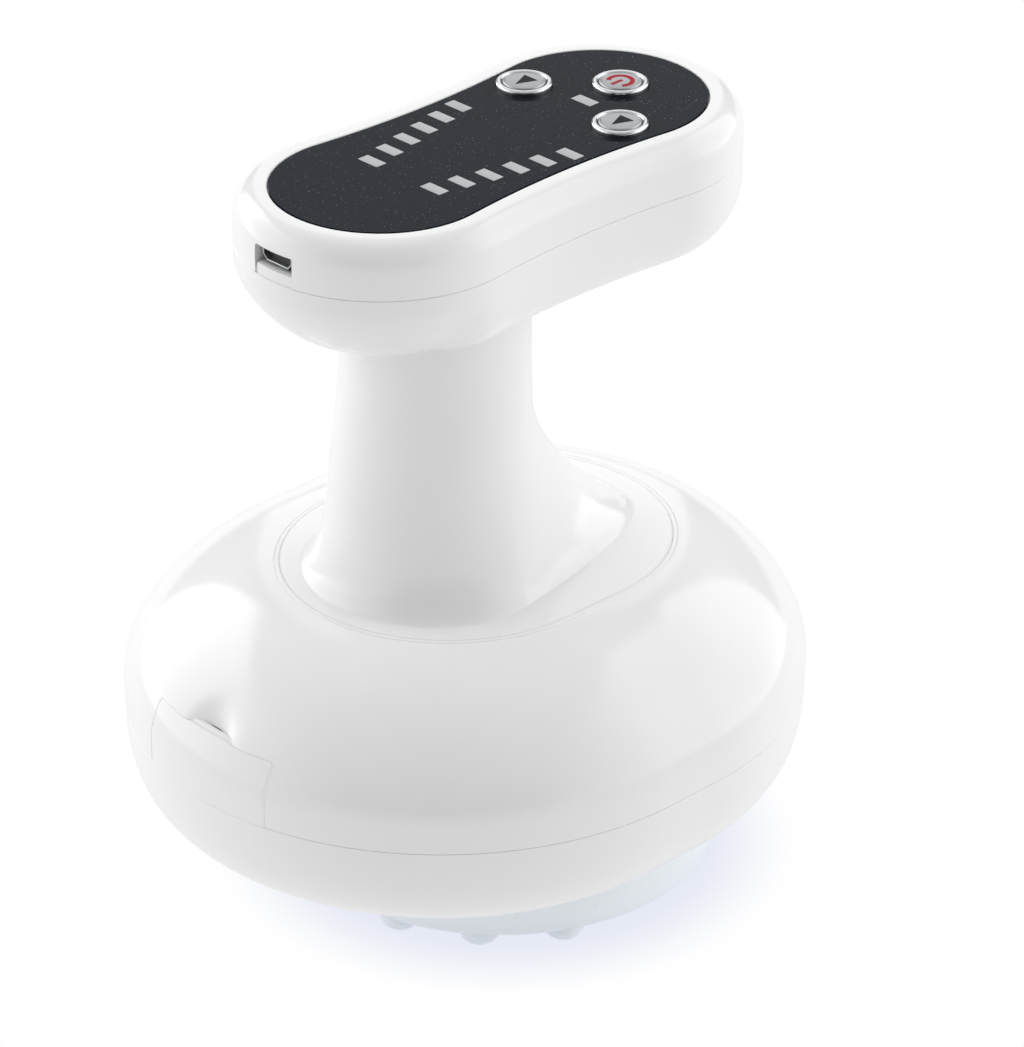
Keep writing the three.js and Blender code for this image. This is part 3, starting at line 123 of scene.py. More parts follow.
SOCKET_SHEET = 0.3
SOCKET_EDGE = 0.06
SOCKET_SLIT = 0.01
SHADE_BLOCK_START = 0.9  # how far behind the socket's mouth the dark block starts, which fills its cavity as painted shade
SOCKET_BACK = 0.1

BUTTON_RADIUS = 4.0
BUTTON_PROUD = 1.2
BEZEL_WIDTH = 0.9
BUTTON_PLACES = {"power": (32.6, 0.0), "suction": (20.1, 12.3), "heat": (20.1, -12.3)}
BUTTON_SIDES = 96
CAP_LOW = 3.0  # how far the cap goes down behind the panel's face
CAP_DROP = 0.04  # the cap's top lies this much lower than its frame's
CAP_CENTRE = 0.6
# The cap's edge: inwards from its side, and down from its top
CAP_EDGE = [(0.0, 0.5), (0.03, 0.33), (0.08, 0.18), (0.16, 0.06), (0.28, 0.0), (0.4, 0.02), (0.5, 0.12),
            (0.6, 0.15)]
RING_HEIGHT = 1.05  # how far a button's ring stands above the panel
RING_SIDE = 0.45  # share of that height at the ring's edges
RING_SLIT = 0.06
RING_CROWN = 0.8  # the crown's power, which makes it fuller than a half circle
RING_STEPS = 14
RING_FOOT = 1.2
RING_STEP = 0.1
PRINT_SPAN = (0.24, 0.165)  # bottom and top of a printed mark, down from the button's top
SYMBOL_RADIUS = 2.2
SYMBOL_WIDTH = 0.88
SYMBOL_OPENING = 52  # half of the opening, in degrees
SYMBOL_STEPS = 40
SYMBOL_STROKE = 2.75
STROKE_HALF = 0.42  # half of the stroke's width, as a share of the ring's
STROKE_CORNER = 0.1
ARROW_TIP = 2.2
ARROW_BASE = 1.8
ARROW_HALF = 1.7
BAR_LENGTH = 5.0
BAR_WIDTH = 2.5
BAR_COUNT = 6
ROW_START = (5.4, 14.3)
ROW_END = (-21.8, 8.0)
POWER_BAR_X = 23.5
BAR_CORNER = 0.15
BAR_SLIT = 0.03
BAR_EDGE = [(-3.0, 0.0), (-0.1, 0.0), (-0.05, 0.03), (-0.03, 0.08)]  # height and draw
HOLE_SLIT = 0.04
HOLE_SIDES = 64
PANEL_SLIT = 0.02
PANEL_EDGE = 0.05

DOOR_HALF = 15.6
DOOR_MIDDLE = 2.0
DOOR_TOP = PARTING + 12.3
TAB_HALF = 6.0
TAB_RISE = 0.2
DOOR_PART_TOP = RING_LEVEL - 4  # the level up to which the door's wall is made before it is cut
DOOR_CORNER = 0.6
DOOR_GAP = 0.045  # the line round the door
DOOR_PLATE = 0.5  # depth at which a ledge closes that line
DOOR_LEDGE = 0.6  # how far the ledge reaches in behind the door's edge
LEDGE_OUTSIDE = 0.4
LEDGE_TOP = 4.0
LEDGE_SLIT = 0.06
BACK_OVERLAP = 0.02  # how far the door's back goes into its plate
BACK_SLIT = 0.1
BACK_RISE = 1.3  # how far above the parting line the door's back ends
BLOCK_SPAN = (-80.0, -40.0)  # X of the blocks that cut the door's shape
BEAD_RADIUS = 0.2  # the rounded edges of the door's opening
BEAD_SUNK = 0.13
BEAD_END = 0.3
BEAD_ROWS = 14
BEAD_SIDES = 12
SCOOP_HALF = 7.2
SCOOP_HEIGHT = 6.2
SCOOP_DEPTH = 2.3
SCOOP_POWER = 1.6

CUP_MIDDLE = 9.1
CUP_RIM_RADIUS = 40.5
CUP_SHOULDER_RADIUS = 42.6
CUP_TOP = 17.7
RIM_LEVEL = 3.0
CUP_RIM_WIDTH = 9.5
CUP_SIDE = 2.2
RIM_ROUND = 1.6  # the outer rounding under the cup's rim
RIM_STEPS = 7
INNER_EDGE = [(0.0, 1.0), (0.3, 0.3), (1.0, 0.0)]  # outwards from the rim's bore, and up from the rim
CUP_SWELL = [(0.5, 3.0), (1.4, 5.5)]  # outwards from the rim's side, and up from the rim
SHOULDER_SWELL = [(-0.15, 8.2), (0.0, 10.0)]  # the same from the shoulder
SHOULDER_EDGE = [(0.0, 0.5), (0.2, 0.1), (0.6, 0.0)]  # inwards from the shoulder, and down from the top
CUP_EDGE = 0.3
CUP_SLOT = 2.5  # depth of the slot between the cup's side and its inner wall
SLOT_EDGE = 0.2
BORE_RISE = 1.4
NUB_RADIUS = 4.0
NUB_HEIGHT = 3.0
NUB_INSET = 4.1
NUB_GROUPS = 3
NUB_COUNT = 3  # in each group
NUB_TURN = 219.4  # where the first group's middle nub stands, in degrees
NUB_PITCH = 24.8
NUB_EXTRA = 0.25  # how far the dome would go below the table, where it is cut flat
NUB_SPAN = (-0.6, 0.72)  # from this angle to this share of a quarter turn
NUB_STEPS = 16
NUB_SIDES = 40
COLLAR_RADIUS = 33.0
COLLAR_WALL = 3.0
COLLAR_HEIGHT = 6.0
COLLAR_TOP = 1.5  # how far the collar goes up into the housing's base
COLLAR_STEP = 1.2
COLLAR_LIP = 1.8
SEAL_HALF = 1.3  # half of the seal groove's height
SEAL_DEPTH = 2.1
COLLAR_EDGE = [(0.0, 0.3), (0.1, 0.1), (0.3, 0.0)]  # inwards and up

# Fineness and edges
FULL_TURN = 360
LOBE_STEPS = 120
WAIST_STEPS = LOBE_STEPS // 5
ROUND_SIDES = 144
CORNER_STEPS = 5
TAB_STEPS = 25
HALVINGS = 40
EDGE_STEPS = 4
EDGE = 0.16
EDGE_END = EDGE * 1.6  # where the rows start beyond a rounded edge
SEAM = 0.016  # half of the line that shows where two mouldings meet
LIP_DEPTH = 0.35  # how deep that line goes before the inner lip closes it
LIP_RISE = 1.2
BELOW_EQUATOR = 0.4  # how near to the equator the lower rows end
BASE_FLAT = 20.0  # radius inside which the housing's base is flat

# Below these angles between faces, in degrees, a surface is shaded smooth
SMOOTH = 32
SMOOTH_FRAME = 25
SMOOTH_SOCKET = 30
SMOOTH_PANEL = 40
SMOOTH_CUP = 45
SMOOTH_BUTTON = 60


# Camera: the photograph's viewing angle, fitted to the panel, the groove and the seams

CAMERA_AZIMUTH = 44.31
CAMERA_ELEVATION = 28.65
CAMERA_PLACE = (3.586, -68.81, 1017.86)  # rightwards, upwards and backwards from the panel's middle
SENSOR_WIDTH = 36
FOCAL_SHARE = 5700 / 1024  # focal length over the picture's width, both in pixels
CLIP_RANGE = (0.05, 50)


def put(name, data):
    """A new object in the scene."""
    obj = bpy.data.objects.new(name, data)
    bpy.context.scene.collection.objects.link(obj)
    return obj


def make_camera():
    azimuth = math.radians(CAMERA_AZIMUTH)
    elevation = math.radians(CAMERA_ELEVATION)
    sin_a, cos_a = math.sin(azimuth), math.cos(azimuth)
    sin_e, cos_e = math.sin(elevation), math.cos(elevation)
    right = Vector((cos_a, -sin_a, 0))
    back = Vector((-sin_a * cos_e, -cos_a * cos_e, sin_e))
    up = Vector((sin_a * sin_e, cos_a * sin_e, cos_e))
    aim = Vector((HANDLE_MIDDLE, 0, PANEL_LEVEL))
    place = (aim + CAMERA_PLACE[0] * right + CAMERA_PLACE[1] * up + CAMERA_PLACE[2] * back) * MM
    data = bpy.data.cameras.new("photo_camera")
    data.sensor_fit = "HORIZONTAL"
    data.sensor_width = SENSOR_WIDTH
    data.lens = FOCAL_SHARE * SENSOR_WIDTH
    data.clip_start, data.clip_end = CLIP_RANGE
    camera = put("photo_camera", data)
    matrix = Matrix((right, up, back)).transposed().to_4x4()
    matrix.translation = place
    camera.matrix_world = matrix
    bpy.context.scene.camera = camera
    return right, back


CAMERA_RIGHT, CAMERA_BACK = make_camera()


# Meshes

def new_mesh(name, points, faces, material, smooth_angle=SMOOTH):
    mesh = bpy.data.meshes.new(name)
    mesh.from_pydata([tuple(np.array(p) * MM) for p in points], [], [tuple(f) for f in faces])
    mesh.validate()
    obj = put(name, mesh)
    body = bmesh.new()
    body.from_mesh(mesh)
    bmesh.ops.recalc_face_normals(body, faces=body.faces)
    body.to_mesh(mesh)
    body.free()
    if material is not None:
        mesh.materials.append(material)
    smooth(obj, smooth_angle)
    return obj


def smooth(obj, angle):
    obj.data.shade_smooth()
    obj.data.set_sharp_from_angle(angle=math.radians(angle))


def loft(rows, ring=False):
    """Points and faces through rows of equal counts. A ring joins its last row to its first."""
    rows = [np.asarray(row, float) for row in rows]
    count = len(rows[0])
    points = np.concatenate(rows)
    faces = []
    last = len(rows) if ring else len(rows) - 1
    for level in range(last):
        here = level * count
        there = (level + 1) % len(rows) * count
        for i in range(count):
            j = (i + 1) % count
            faces.append((here + i, here + j, there + j, there + i))
    if not ring:
        faces.append(tuple(range(count))[::-1])
        faces.append(tuple((len(rows) - 1) * count + i for i in range(count)))
    return points, faces


def several(*parts):
    """Several point and face lists as one."""
    points, faces, start = [], [], 0
    for part_points, part_faces in parts:
        points.append(np.asarray(part_points, float))
        faces += [tuple(i + start for i in face) for face in part_faces]
        start += len(part_points)
    return np.concatenate(points), faces


def arc(x, y, radius, start, stop, steps):
    angles = np.linspace(start, stop, steps + 1)
    return np.stack([x + radius * np.cos(angles), y + radius * np.sin(angles)], 1)


def circle(x, y, radius, sides):
    return arc(x, y, radius, 0, 2 * math.pi, sides)[:-1]


def level_row(outline, z):
    """An outline of X and Y at one height, or at a height for each point."""
    return np.column_stack([outline, z + np.zeros(len(outline))])


def lathe(profile, at, sides=ROUND_SIDES, ring=False):
    """Points and faces of a profile of radii and heights, turned round an upright axis."""
    return loft([level_row(circle(*at, radius, sides), z) for radius, z in profile], ring)


def stadium(radius, stretch, middle):
    """Two half circles drawn apart along X."""
    quarter_turn = math.pi / 2
    return np.concatenate([
        arc(middle + stretch, 0, radius, -quarter_turn, quarter_turn, LOBE_STEPS),
        arc(middle - stretch, 0, radius, quarter_turn, 3 * quarter_turn, LOBE_STEPS),
    ])


def peanut(offset):
    """The handle's waisted outline, moved outwards by an offset."""
    bend = (WAIST_HALF ** 2 + LOBE_STRETCH ** 2 - LOBE_RADIUS ** 2) / (2 * (LOBE_RADIUS - WAIST_HALF))
    waist_y = WAIST_HALF + bend
    turn = math.atan2(waist_y, -LOBE_STRETCH)
    hollow = math.atan2(LOBE_STRETCH, waist_y)
    right = arc(LOBE_STRETCH, 0, LOBE_RADIUS + offset, -turn, turn, LOBE_STEPS // 2)
    top = arc(0, waist_y, bend - offset, -math.pi / 2 + hollow, -math.pi / 2 - hollow, WAIST_STEPS)
    half = np.concatenate([right, top[1:-1]])
    return np.concatenate([half, -half])


def ease(share):
    """Runs from 0 to 1 with a soft start and end."""
    return share * share * (3 - 2 * share)


def quarter(share, power):
    """A quarter of a superellipse, from its flat end at share 0 to its upright end at share 1."""
    angle = share * math.pi / 2
    across = np.sin(angle) ** (2 / power)
    down = 1 - np.maximum(np.cos(angle), 0) ** (2 / power)
    return across, down


def use_up(obj):
    """Removes an object and its mesh."""
    mesh = obj.data
    bpy.data.objects.remove(obj)
    bpy.data.meshes.remove(mesh)


def boolean(obj, cutter, operation):
    """Cuts or keeps a piece by another, which is used up."""
    modifier = obj.modifiers.new("cut", "BOOLEAN")
    modifier.operation = operation
    modifier.solver = "EXACT"
    modifier.object = cutter
    depsgraph = bpy.context.evaluated_depsgraph_get()
    result = bpy.data.meshes.new_from_object(obj.evaluated_get(depsgraph))
    obj.modifiers.clear()
    old = obj.data
    obj.data = result
    bpy.data.meshes.remove(old)
    use_up(cutter)
    return obj


def wear(piece, body, slot, *nodes):
    """Sets a finished piece on its body, in place of its nodes."""
    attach(piece, body)
    if nodes:
        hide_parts(*nodes)


def dress(name, shape, body, slot, *nodes, look=None, angle=SMOOTH):
    """Makes a piece from its points and faces and sets it on its body."""
    wear(new_mesh(name, *shape, looks[look or slot], angle), body, slot, *nodes)


# Materials: sizes of the noise are per metre

NOISE_SPAN = (0.3, 0.7)
TINT_SPAN = (0.35, 0.65)
BUMP_DEPTH = 0.00002
DRIFT_SCALE = 45
SMEAR_SCALE = 160
SMEAR_SPAN = (0.85, 1.2)
SKIN_SCALE = 900
SKIN_BUMP = 0.01
MARK_SPAN = (0.7, 1.35)
MARK_SHADES = (0.9, 1.06)
MARK_BUMP = 0.06
PANEL_DARK = (0.005, 0.008, 0.014)
PANEL_ROUGH = 0.07
PANEL_IOR = 1.12
PANEL_SMEAR_SCALE = 120
PANEL_SMEAR = (0.05, 0.1)
SPECK_SCALE = 2600.0
SPECK_PALE = (0.45, 0.46, 0.48)
SPECK_SIZE = (0.08, 0.2)
GATE_SCALE = 1500  # lets only some of the specks through
GATE_SPAN = (0.56, 0.62)


def add(tree, kind, **inputs):
    """A node, with its own settings and its inputs' values."""
    node = tree.nodes.new(kind)
    for key, value in inputs.items():
        if hasattr(node, key):
            setattr(node, key, value)
        else:
            node.inputs[key.replace("_", " ")].default_value = value
    return node


def principled(name, color, roughness, **values):
    material = bpy.data.materials.new(name)
    material.use_nodes = True
    tree = material.node_tree
    shader = tree.nodes["Principled BSDF"]
    shader.inputs["Base Color"].default_value = (*color, 1)
    shader.inputs["Roughness"].default_value = roughness
    for key, value in values.items():
        shader.inputs[key.replace("_", " ")].default_value = value
    return material, tree, shader


def noise(tree, scale, detail, stretch=(1, 1, 1)):
    place = add(tree, "ShaderNodeTexCoord")
    mapping = add(tree, "ShaderNodeMapping")
    mapping.inputs["Scale"].default_value = stretch
    texture = add(tree, "ShaderNodeTexNoise", Scale=scale, Detail=detail)
    tree.links.new(place.outputs["Object"], mapping.inputs["Vector"])
    tree.links.new(mapping.outputs["Vector"], texture.inputs["Vector"])
    return texture.outputs["Fac"]


def spread(tree, source, low, high, start=NOISE_SPAN[0], stop=NOISE_SPAN[1], kind="LINEAR"):
    """Turns a value between start and stop into a number between low and high."""
    ramp = add(tree, "ShaderNodeMapRange", interpolation_type=kind)
    for key, number in (("From Min", start), ("From Max", stop), ("To Min", low), ("To Max", high)):
        ramp.inputs[key].default_value = number
    tree.links.new(source, ramp.inputs["Value"])
    return ramp.outputs["Result"]


def tint(tree, source, low, high, start=TINT_SPAN[0], stop=TINT_SPAN[1]):
    """Turns a value into a colour between two."""
    ramp = add(tree, "ShaderNodeValToRGB")
    for element, place, color in zip(ramp.color_ramp.elements, (start, stop), (low, high)):
        element.position = place
        element.color = (*color, 1)
    tree.links.new(source, ramp.inputs["Fac"])
    return ramp.outputs["Color"]


def bump(tree, shader, source, strength):
    node = add(tree, "ShaderNodeBump", Strength=strength, Distance=BUMP_DEPTH)
    tree.links.new(source, node.inputs["Height"])
    tree.links.new(node.outputs["Normal"], shader.inputs["Normal"])


def shades(color, darker, lighter):
    """A colour made a little darker and a little lighter."""
    return tuple(c * darker for c in color), tuple(min(c * lighter, 1) for c in color)


def moulded(name, color, roughness, vary, ior=1.5, grain=0.0, grain_scale=9000):
    """Moulded plastic: faint colour drift, a roughness that isn't even, and a fine surface."""
    material, tree, shader = principled(name, color, roughness, IOR=ior)
    drift = noise(tree, DRIFT_SCALE, 4)
    tree.links.new(tint(tree, drift, *shades(color, 1 - vary, 1 + vary)), shader.inputs["Base Color"])
    smear = noise(tree, SMEAR_SCALE, 5)
    low, high = (roughness * share for share in SMEAR_SPAN)
    tree.links.new(spread(tree, smear, low, high), shader.inputs["Roughness"])
    bump(tree, shader, noise(tree, grain_scale if grain else SKIN_SCALE, 2), grain or SKIN_BUMP)
    return material


def metal(name, color, roughness, stretch=(1, 1, 1), scale=2500):
    """Metal with fine marks drawn out along one direction."""
    material, tree, shader = principled(name, color, roughness, Metallic=1.0)
    marks = noise(tree, scale, 5, stretch)
    low, high = (roughness * share for share in MARK_SPAN)
    tree.links.new(spread(tree, marks, low, high), shader.inputs["Roughness"])
    tree.links.new(tint(tree, marks, *shades(color, *MARK_SHADES)), shader.inputs["Base Color"])
    bump(tree, shader, marks, MARK_BUMP)
    return material


def speckled_panel(name):
    """Smoked glossy sheet with fine pale specks under its face."""
    material, tree, shader = principled(name, PANEL_DARK, PANEL_ROUGH, IOR=PANEL_IOR)
    cells = add(tree, "ShaderNodeTexVoronoi", Scale=SPECK_SCALE)
    place = add(tree, "ShaderNodeTexCoord")
    tree.links.new(place.outputs["Object"], cells.inputs["Vector"])
    specks = tint(tree, cells.outputs["Distance"], SPECK_PALE, PANEL_DARK, *SPECK_SIZE)
    gate = noise(tree, GATE_SCALE, 2)
    mix = add(tree, "ShaderNodeMix", data_type="RGBA")
    tree.links.new(spread(tree, gate, 0, 1, *GATE_SPAN), mix.inputs["Factor"])
    colour_in = [s for s in mix.inputs if s.type == "RGBA"]
    colour_in[0].default_value = (*PANEL_DARK, 1)
    tree.links.new(specks, colour_in[1])
    colour_out = [s for s in mix.outputs if s.type == "RGBA"][0]
    tree.links.new(colour_out, shader.inputs["Base Color"])
    smear = noise(tree, PANEL_SMEAR_SCALE, 4)
    tree.links.new(spread(tree, smear, *PANEL_SMEAR), shader.inputs["Roughness"])
    return material


# Colour and roughness, then the colour's drift or the stretch of a metal's marks, and the rest in order
LOOKS = {
    "white_gloss": (moulded, (0.84, 0.84, 0.843), 0.13, 0.006),
    "panel_black": (speckled_panel,),
    "button_metal": (metal, (0.38, 0.387, 0.4), 0.34, (1, 12, 1), 1400),
    "bright_metal": (metal, (0.66, 0.67, 0.69), 0.17, (1, 1, 1), 1800),
    "light_bar": (moulded, (0.42, 0.43, 0.45), 0.3, 0.05),
    "cup_frosted": (moulded, (0.84, 0.88, 0.915), 0.3, 0.01, 1.3),
    "grey_plastic": (moulded, (0.33, 0.36, 0.39), 0.5, 0.05, 1.5, 0.2),
    "black_plastic": (moulded, (0.022, 0.023, 0.025), 0.45, 0.1, 1.5, 0.2),
    "rubber_dark": (moulded, (0.04, 0.04, 0.042), 0.7, 0.1, 1.5, 0.3),
    "steel_satin": (metal, (0.48, 0.49, 0.5), 0.3, (1, 1, 8)),
    "aluminium_plate": (metal, (0.62, 0.63, 0.64), 0.38, (1, 1, 1), 3000),
    "board_green": (moulded, (0.013, 0.10, 0.045), 0.35, 0.12),
    "cell_wrap": (moulded, (0.03, 0.16, 0.44), 0.28, 0.08),
    "tube_clear": (moulded, (0.7, 0.74, 0.76), 0.25, 0.02),
    "filter_foam": (moulded, (0.25, 0.26, 0.28), 0.9, 0.25, 1.5, 0.6, 2500),
    "red_ink": (moulded, (0.37, 0.006, 0.013), 0.45, 0.08, 1.2),
    # Near-black for the socket's inside, darker than its plastic, as painted shade of the deep cavity
    "socket_dark": (moulded, (0.012, 0.012, 0.013), 0.4, 0.1, 1.5, 0.2),
    "dark_ink": (moulded, (0.012, 0.0125, 0.014), 0.5, 0.1, 1.2),
}
looks = {name: make(name, *values) for name, (make, *values) in LOOKS.items()}

slot_of = {part["node"]: part["material_slot"] for part in frame["record"]["subparts"]}
for node_name, node_object in frame["nodes"].items():
    node_object.data.materials.clear()
    node_object.data.materials.append(looks[slot_of[node_name]])
    smooth(node_object, SMOOTH_FRAME)


# Housing

def bulb_section(z, inset=0.0):
    """Radius, stretch and middle of the housing's outline at a level."""
    widest = BULB_RADIUS - inset
    if z < EQUATOR:
        share = min((EQUATOR - z) / (BULB_DROP - inset), 1)
        swell = (1 - share ** LOWER_ROUND) ** (1 / LOWER_ROUND)
        return BULB_BASE_RADIUS + (widest - BULB_BASE_RADIUS) * swell, BULB_STRETCH, 0.0
    share = min((z - EQUATOR) / (BULB_RISE - inset), 1)
    swell = (1 - share ** UPPER_ROUND) ** (1 / UPPER_ROUND)
    radius = RING_RADIUS + (widest - RING_RADIUS) * swell
    return radius, RING_STRETCH + (BULB_STRETCH - RING_STRETCH) * swell, RING_MIDDLE * (1 - swell)


def bulb_row(z, inset=0.0, shrink=0.0):
    radius, stretch, middle = bulb_section(z, inset)
    return level_row(stadium(radius - shrink, stretch, middle), z)


def edge_levels(z, upward):
    """Levels and drawn-in widths of a small rounded edge that ends at z."""
    sign = 1 if upward else -1
    steps = []
    for i in range(EDGE_STEPS + 1):
        angle = i / EDGE_STEPS * math.pi / 2
        steps.append((z - sign * EDGE * (1 - math.sin(angle)), EDGE * (1 - math.cos(angle))))
    return steps


def upper_levels(low, high, count):
    """Levels that crowd towards the top, where the housing turns over."""
    start = math.asin((low - EQUATOR) / BULB_RISE) if low > EQUATOR else 0.0
    stop = math.asin(min((high - EQUATOR) / BULB_RISE, 1))
    return [EQUATOR + BULB_RISE * math.sin(start + (stop - start) * i / count) for i in range(count + 1)]


def scoop_dent(rows):
    """Presses the finger scoop into the housing's outside above the door."""
    for row in rows:
        face = row[:, 0] < 0
        across = (row[:, 1] - DOOR_MIDDLE) / SCOOP_HALF
        along = (row[:, 2] - DOOR_TOP) / SCOOP_HEIGHT
        reach = np.clip(1 - across ** 2 - along ** 2, 0, 1)
        row[:, 0] += np.where(face, SCOOP_DEPTH * reach ** SCOOP_POWER, 0)


def corners(half, top, radius):
    """The two rounded upper corners of an opening, as points of Y and Z."""
    corner = arc(half - radius, top - radius, radius, 0, math.pi / 2, CORNER_STEPS)
    return corner, corner[::-1] * (-1, 1)


def door_outline(gap, bottom):
    """The door's outline seen from -X, as Y and Z."""
    half = DOOR_HALF + gap
    top = DOOR_TOP + gap
    tab = [((TAB_HALF + gap) * math.cos(a), top + TAB_RISE * math.sin(a))
           for a in np.linspace(0, math.pi, TAB_STEPS)]
    corner, other = corners(half, top, DOOR_CORNER)
    points = [(-half, bottom), (half, bottom), *corner, *tab, *other]
    return [(y + DOOR_MIDDLE, z) for y, z in points]


def door_block(name, gap, bottom):
    outline = door_outline(gap, bottom)
    rows = [np.array([(x, y, z) for y, z in outline]) for x in BLOCK_SPAN]
    return new_mesh(name, *loft(rows), None)


def door_beads():
    """The rounded edges at both sides of the door's opening."""
    beads = []
    for side in (-1, 1):
        y = DOOR_MIDDLE + side * (DOOR_HALF + DOOR_GAP + BEAD_RADIUS)
        rows = []
        for z in np.linspace(PARTING + BEAD_END, DOOR_TOP - BEAD_END, BEAD_ROWS):
            level = bulb_row(z, BEAD_SUNK)
            front = level[level[:, 0] < 0]
            front = front[np.argsort(front[:, 1])]
            x = np.interp(y, front[:, 1], front[:, 0])
            rows.append(level_row(circle(x, y, BEAD_RADIUS, BEAD_SIDES), z))
        beads.append(new_mesh("door_bead", *loft(rows), None))
    return beads


CUT_BELOW = 2  # how far below the parting line the cutting blocks start
WALL_ROWS = (8, 40)  # below and above the equator
DOME_ROWS = (5, 46, 16)  # below the equator, above it outside, and above it inside


def wall_part(name, low, high, outer_inset, inner_inset):
    """A part of the housing's wall between two depths, from one level to another."""
    below, above = WALL_ROWS
    levels = [*np.linspace(low, EQUATOR - BELOW_EQUATOR, below), *upper_levels(EQUATOR, high, above)]
    outer = [bulb_row(z, outer_inset) for z in levels]
    inner = [bulb_row(z, inner_inset) for z in levels][::-1]
    return new_mesh(name, *loft(outer + inner, ring=True), looks["white_gloss"])


def merge(obj, other):
    """Adds another object's mesh to a piece."""
    body = bmesh.new()
    body.from_mesh(obj.data)
    body.from_mesh(other.data)
    body.to_mesh(obj.data)
    body.free()
    use_up(other)


def door_ledge():
    """The ledge behind the door's edge."""
    ledge = wall_part("door_ledge", PARTING, DOOR_TOP + LEDGE_TOP, DOOR_PLATE + LEDGE_SLIT, WALL / 2)
    boolean(ledge, door_block("ledge_outside", LEDGE_OUTSIDE, PARTING - CUT_BELOW), "INTERSECT")
    return boolean(ledge, door_block("ledge_inside", -DOOR_LEDGE, PARTING - CUT_BELOW - 1), "DIFFERENCE")


# The lip beside the groove: outwards from the groove, and down from its level
RIM_START = 0.3
RIM_INSIDE = 0.2
HOUSING_RIM = [
    (1.6, 0.12), (1.0, 0.06), (0.91, 0.19), (0.82, 0.06), (0.74, 0.01), (0.55, 0.0), (0.3, 0.0), (0.13, 0.01),
    (0.04, 0.05), (0.0, 0.14), (0.0, RING_RECESS), (-9.0, RING_RECESS), (-9.0, RING_RECESS + 1.6)]


def housing_upper():
    low = PARTING + SEAM
    below, outside, inside = DOME_ROWS
    rows = [bulb_row(z, shrink=s) for z, s in edge_levels(low, False)[::-1]]
    rows += [bulb_row(z) for z in np.linspace(low + EDGE_END, EQUATOR - BELOW_EQUATOR, below)]
    rows += [bulb_row(z) for z in upper_levels(EQUATOR, RING_LEVEL - RIM_START, outside)]
    scoop_dent(rows)
    for grown, drop in HOUSING_RIM:
        rows.append(level_row(stadium(RING_RADIUS + grown, RING_STRETCH, RING_MIDDLE), RING_LEVEL - drop))
    rows += [bulb_row(z, WALL) for z in upper_levels(EQUATOR, RING_LEVEL - WALL - RIM_INSIDE, inside)[::-1]]
    rows += [bulb_row(low + 1, WALL), bulb_row(low, WALL)]
    shell = new_mesh("housing_upper", *loft(rows, ring=True), looks["white_gloss"])
    boolean(shell, door_block("door_cutter", DOOR_GAP, PARTING - CUT_BELOW), "DIFFERENCE")
    for part in (*door_beads(), door_ledge()):
        merge(shell, part)
    smooth(shell, SMOOTH)
    wear(shell, "body", "white_gloss", "bulb_upper_shell")


def housing_door():
    low = PARTING + SEAM
    door = wall_part("housing_door", low - 1, DOOR_PART_TOP, 0, DOOR_PLATE)
    boolean(door, door_block("door_shape", 0, low), "INTERSECT")
    back = wall_part("door_back", low - 1, DOOR_PART_TOP, DOOR_PLATE - BACK_OVERLAP, WALL)
    shape = door_block("door_back_shape", -DOOR_LEDGE - BACK_SLIT, low + BACK_RISE)
    merge(door, boolean(back, shape, "INTERSECT"))
    smooth(door, SMOOTH)
    wear(door, "door", "white_gloss", "filter_door")


# Where the lower rows crowd, as angles, and how many there are
LOWER_OUTER = (0.14, math.pi / 2, 44)
LOWER_INNER = (0.3, math.pi / 2 - 0.02, 14)


def housing_lower():
    high = PARTING - SEAM
    rows = [bulb_row(z, shrink=s) for z, s in edge_levels(high, True)[::-1]]
    lower = [EQUATOR - BULB_DROP * s for s in np.sin(np.linspace(*LOWER_OUTER))]
    rows += [bulb_row(z) for z in (high - EDGE_END, *(z for z in lower if z < high - EDGE_END))]
    rows += [level_row(stadium(BASE_FLAT, BULB_STRETCH, 0), z) for z in (BULB_BASE, BULB_BASE + WALL)]
    inner = [EQUATOR - (BULB_DROP - WALL) * s for s in np.sin(np.linspace(*LOWER_INNER))]
    rows += [bulb_row(z, WALL) for z in inner[::-1]]
    rows.append(bulb_row(high + LIP_RISE, WALL))
    rows += [bulb_row(z, shrink=LIP_DEPTH) for z in (high + LIP_RISE, high)]
    shape = several(loft(rows, ring=True), collar())
    dress("housing_lower", shape, "body", "white_gloss", "bulb_lower_shell")


def collar():
    """The collar that carries the cup, with the seal's groove round it."""
    low = BULB_BASE - COLLAR_HEIGHT
    seal = BULB_BASE - COLLAR_HEIGHT / 2
    groove = COLLAR_RADIUS - SEAL_DEPTH
    bore = COLLAR_RADIUS - COLLAR_WALL
    return lathe([
        (COLLAR_RADIUS, BULB_BASE + COLLAR_TOP), (COLLAR_RADIUS, seal + SEAL_HALF),
        (groove, seal + SEAL_HALF), (groove, seal - SEAL_HALF), (COLLAR_RADIUS, seal - SEAL_HALF),
        *[(COLLAR_RADIUS - inwards, low + up) for inwards, up in COLLAR_EDGE],
        (bore, low), (bore, low + COLLAR_LIP), (bore - COLLAR_STEP, low + COLLAR_LIP),
        (bore - COLLAR_STEP, BULB_BASE + COLLAR_TOP),
    ], (CUP_MIDDLE, 0), ring=True)


# Neck

def flare_height(angle):
    return FLARE_NEAR + (FLARE_FAR - FLARE_NEAR) * ((1 + np.cos(angle)) / 2) ** FLARE_LEAN


def column_point(angle, z):
    """A point of the column, which widens and leans a little downwards."""
    share = np.maximum(FOOT_RISE + NECK_HEIGHT - COLUMN_STRAIGHT - z, 0) / (NECK_HEIGHT - COLUMN_STRAIGHT)
    radius = COLUMN_RADIUS + COLUMN_SPREAD * share
    return np.stack([radius * np.cos(angle) - COLUMN_LEAN * share, radius * np.sin(angle), z + 0 * angle], -1)


def softness(angle):
    """0 where the foot's edge is crisp and 1 where it runs softly into the rim."""
    return ease(np.clip(-2 * np.cos(angle), 0, 1))


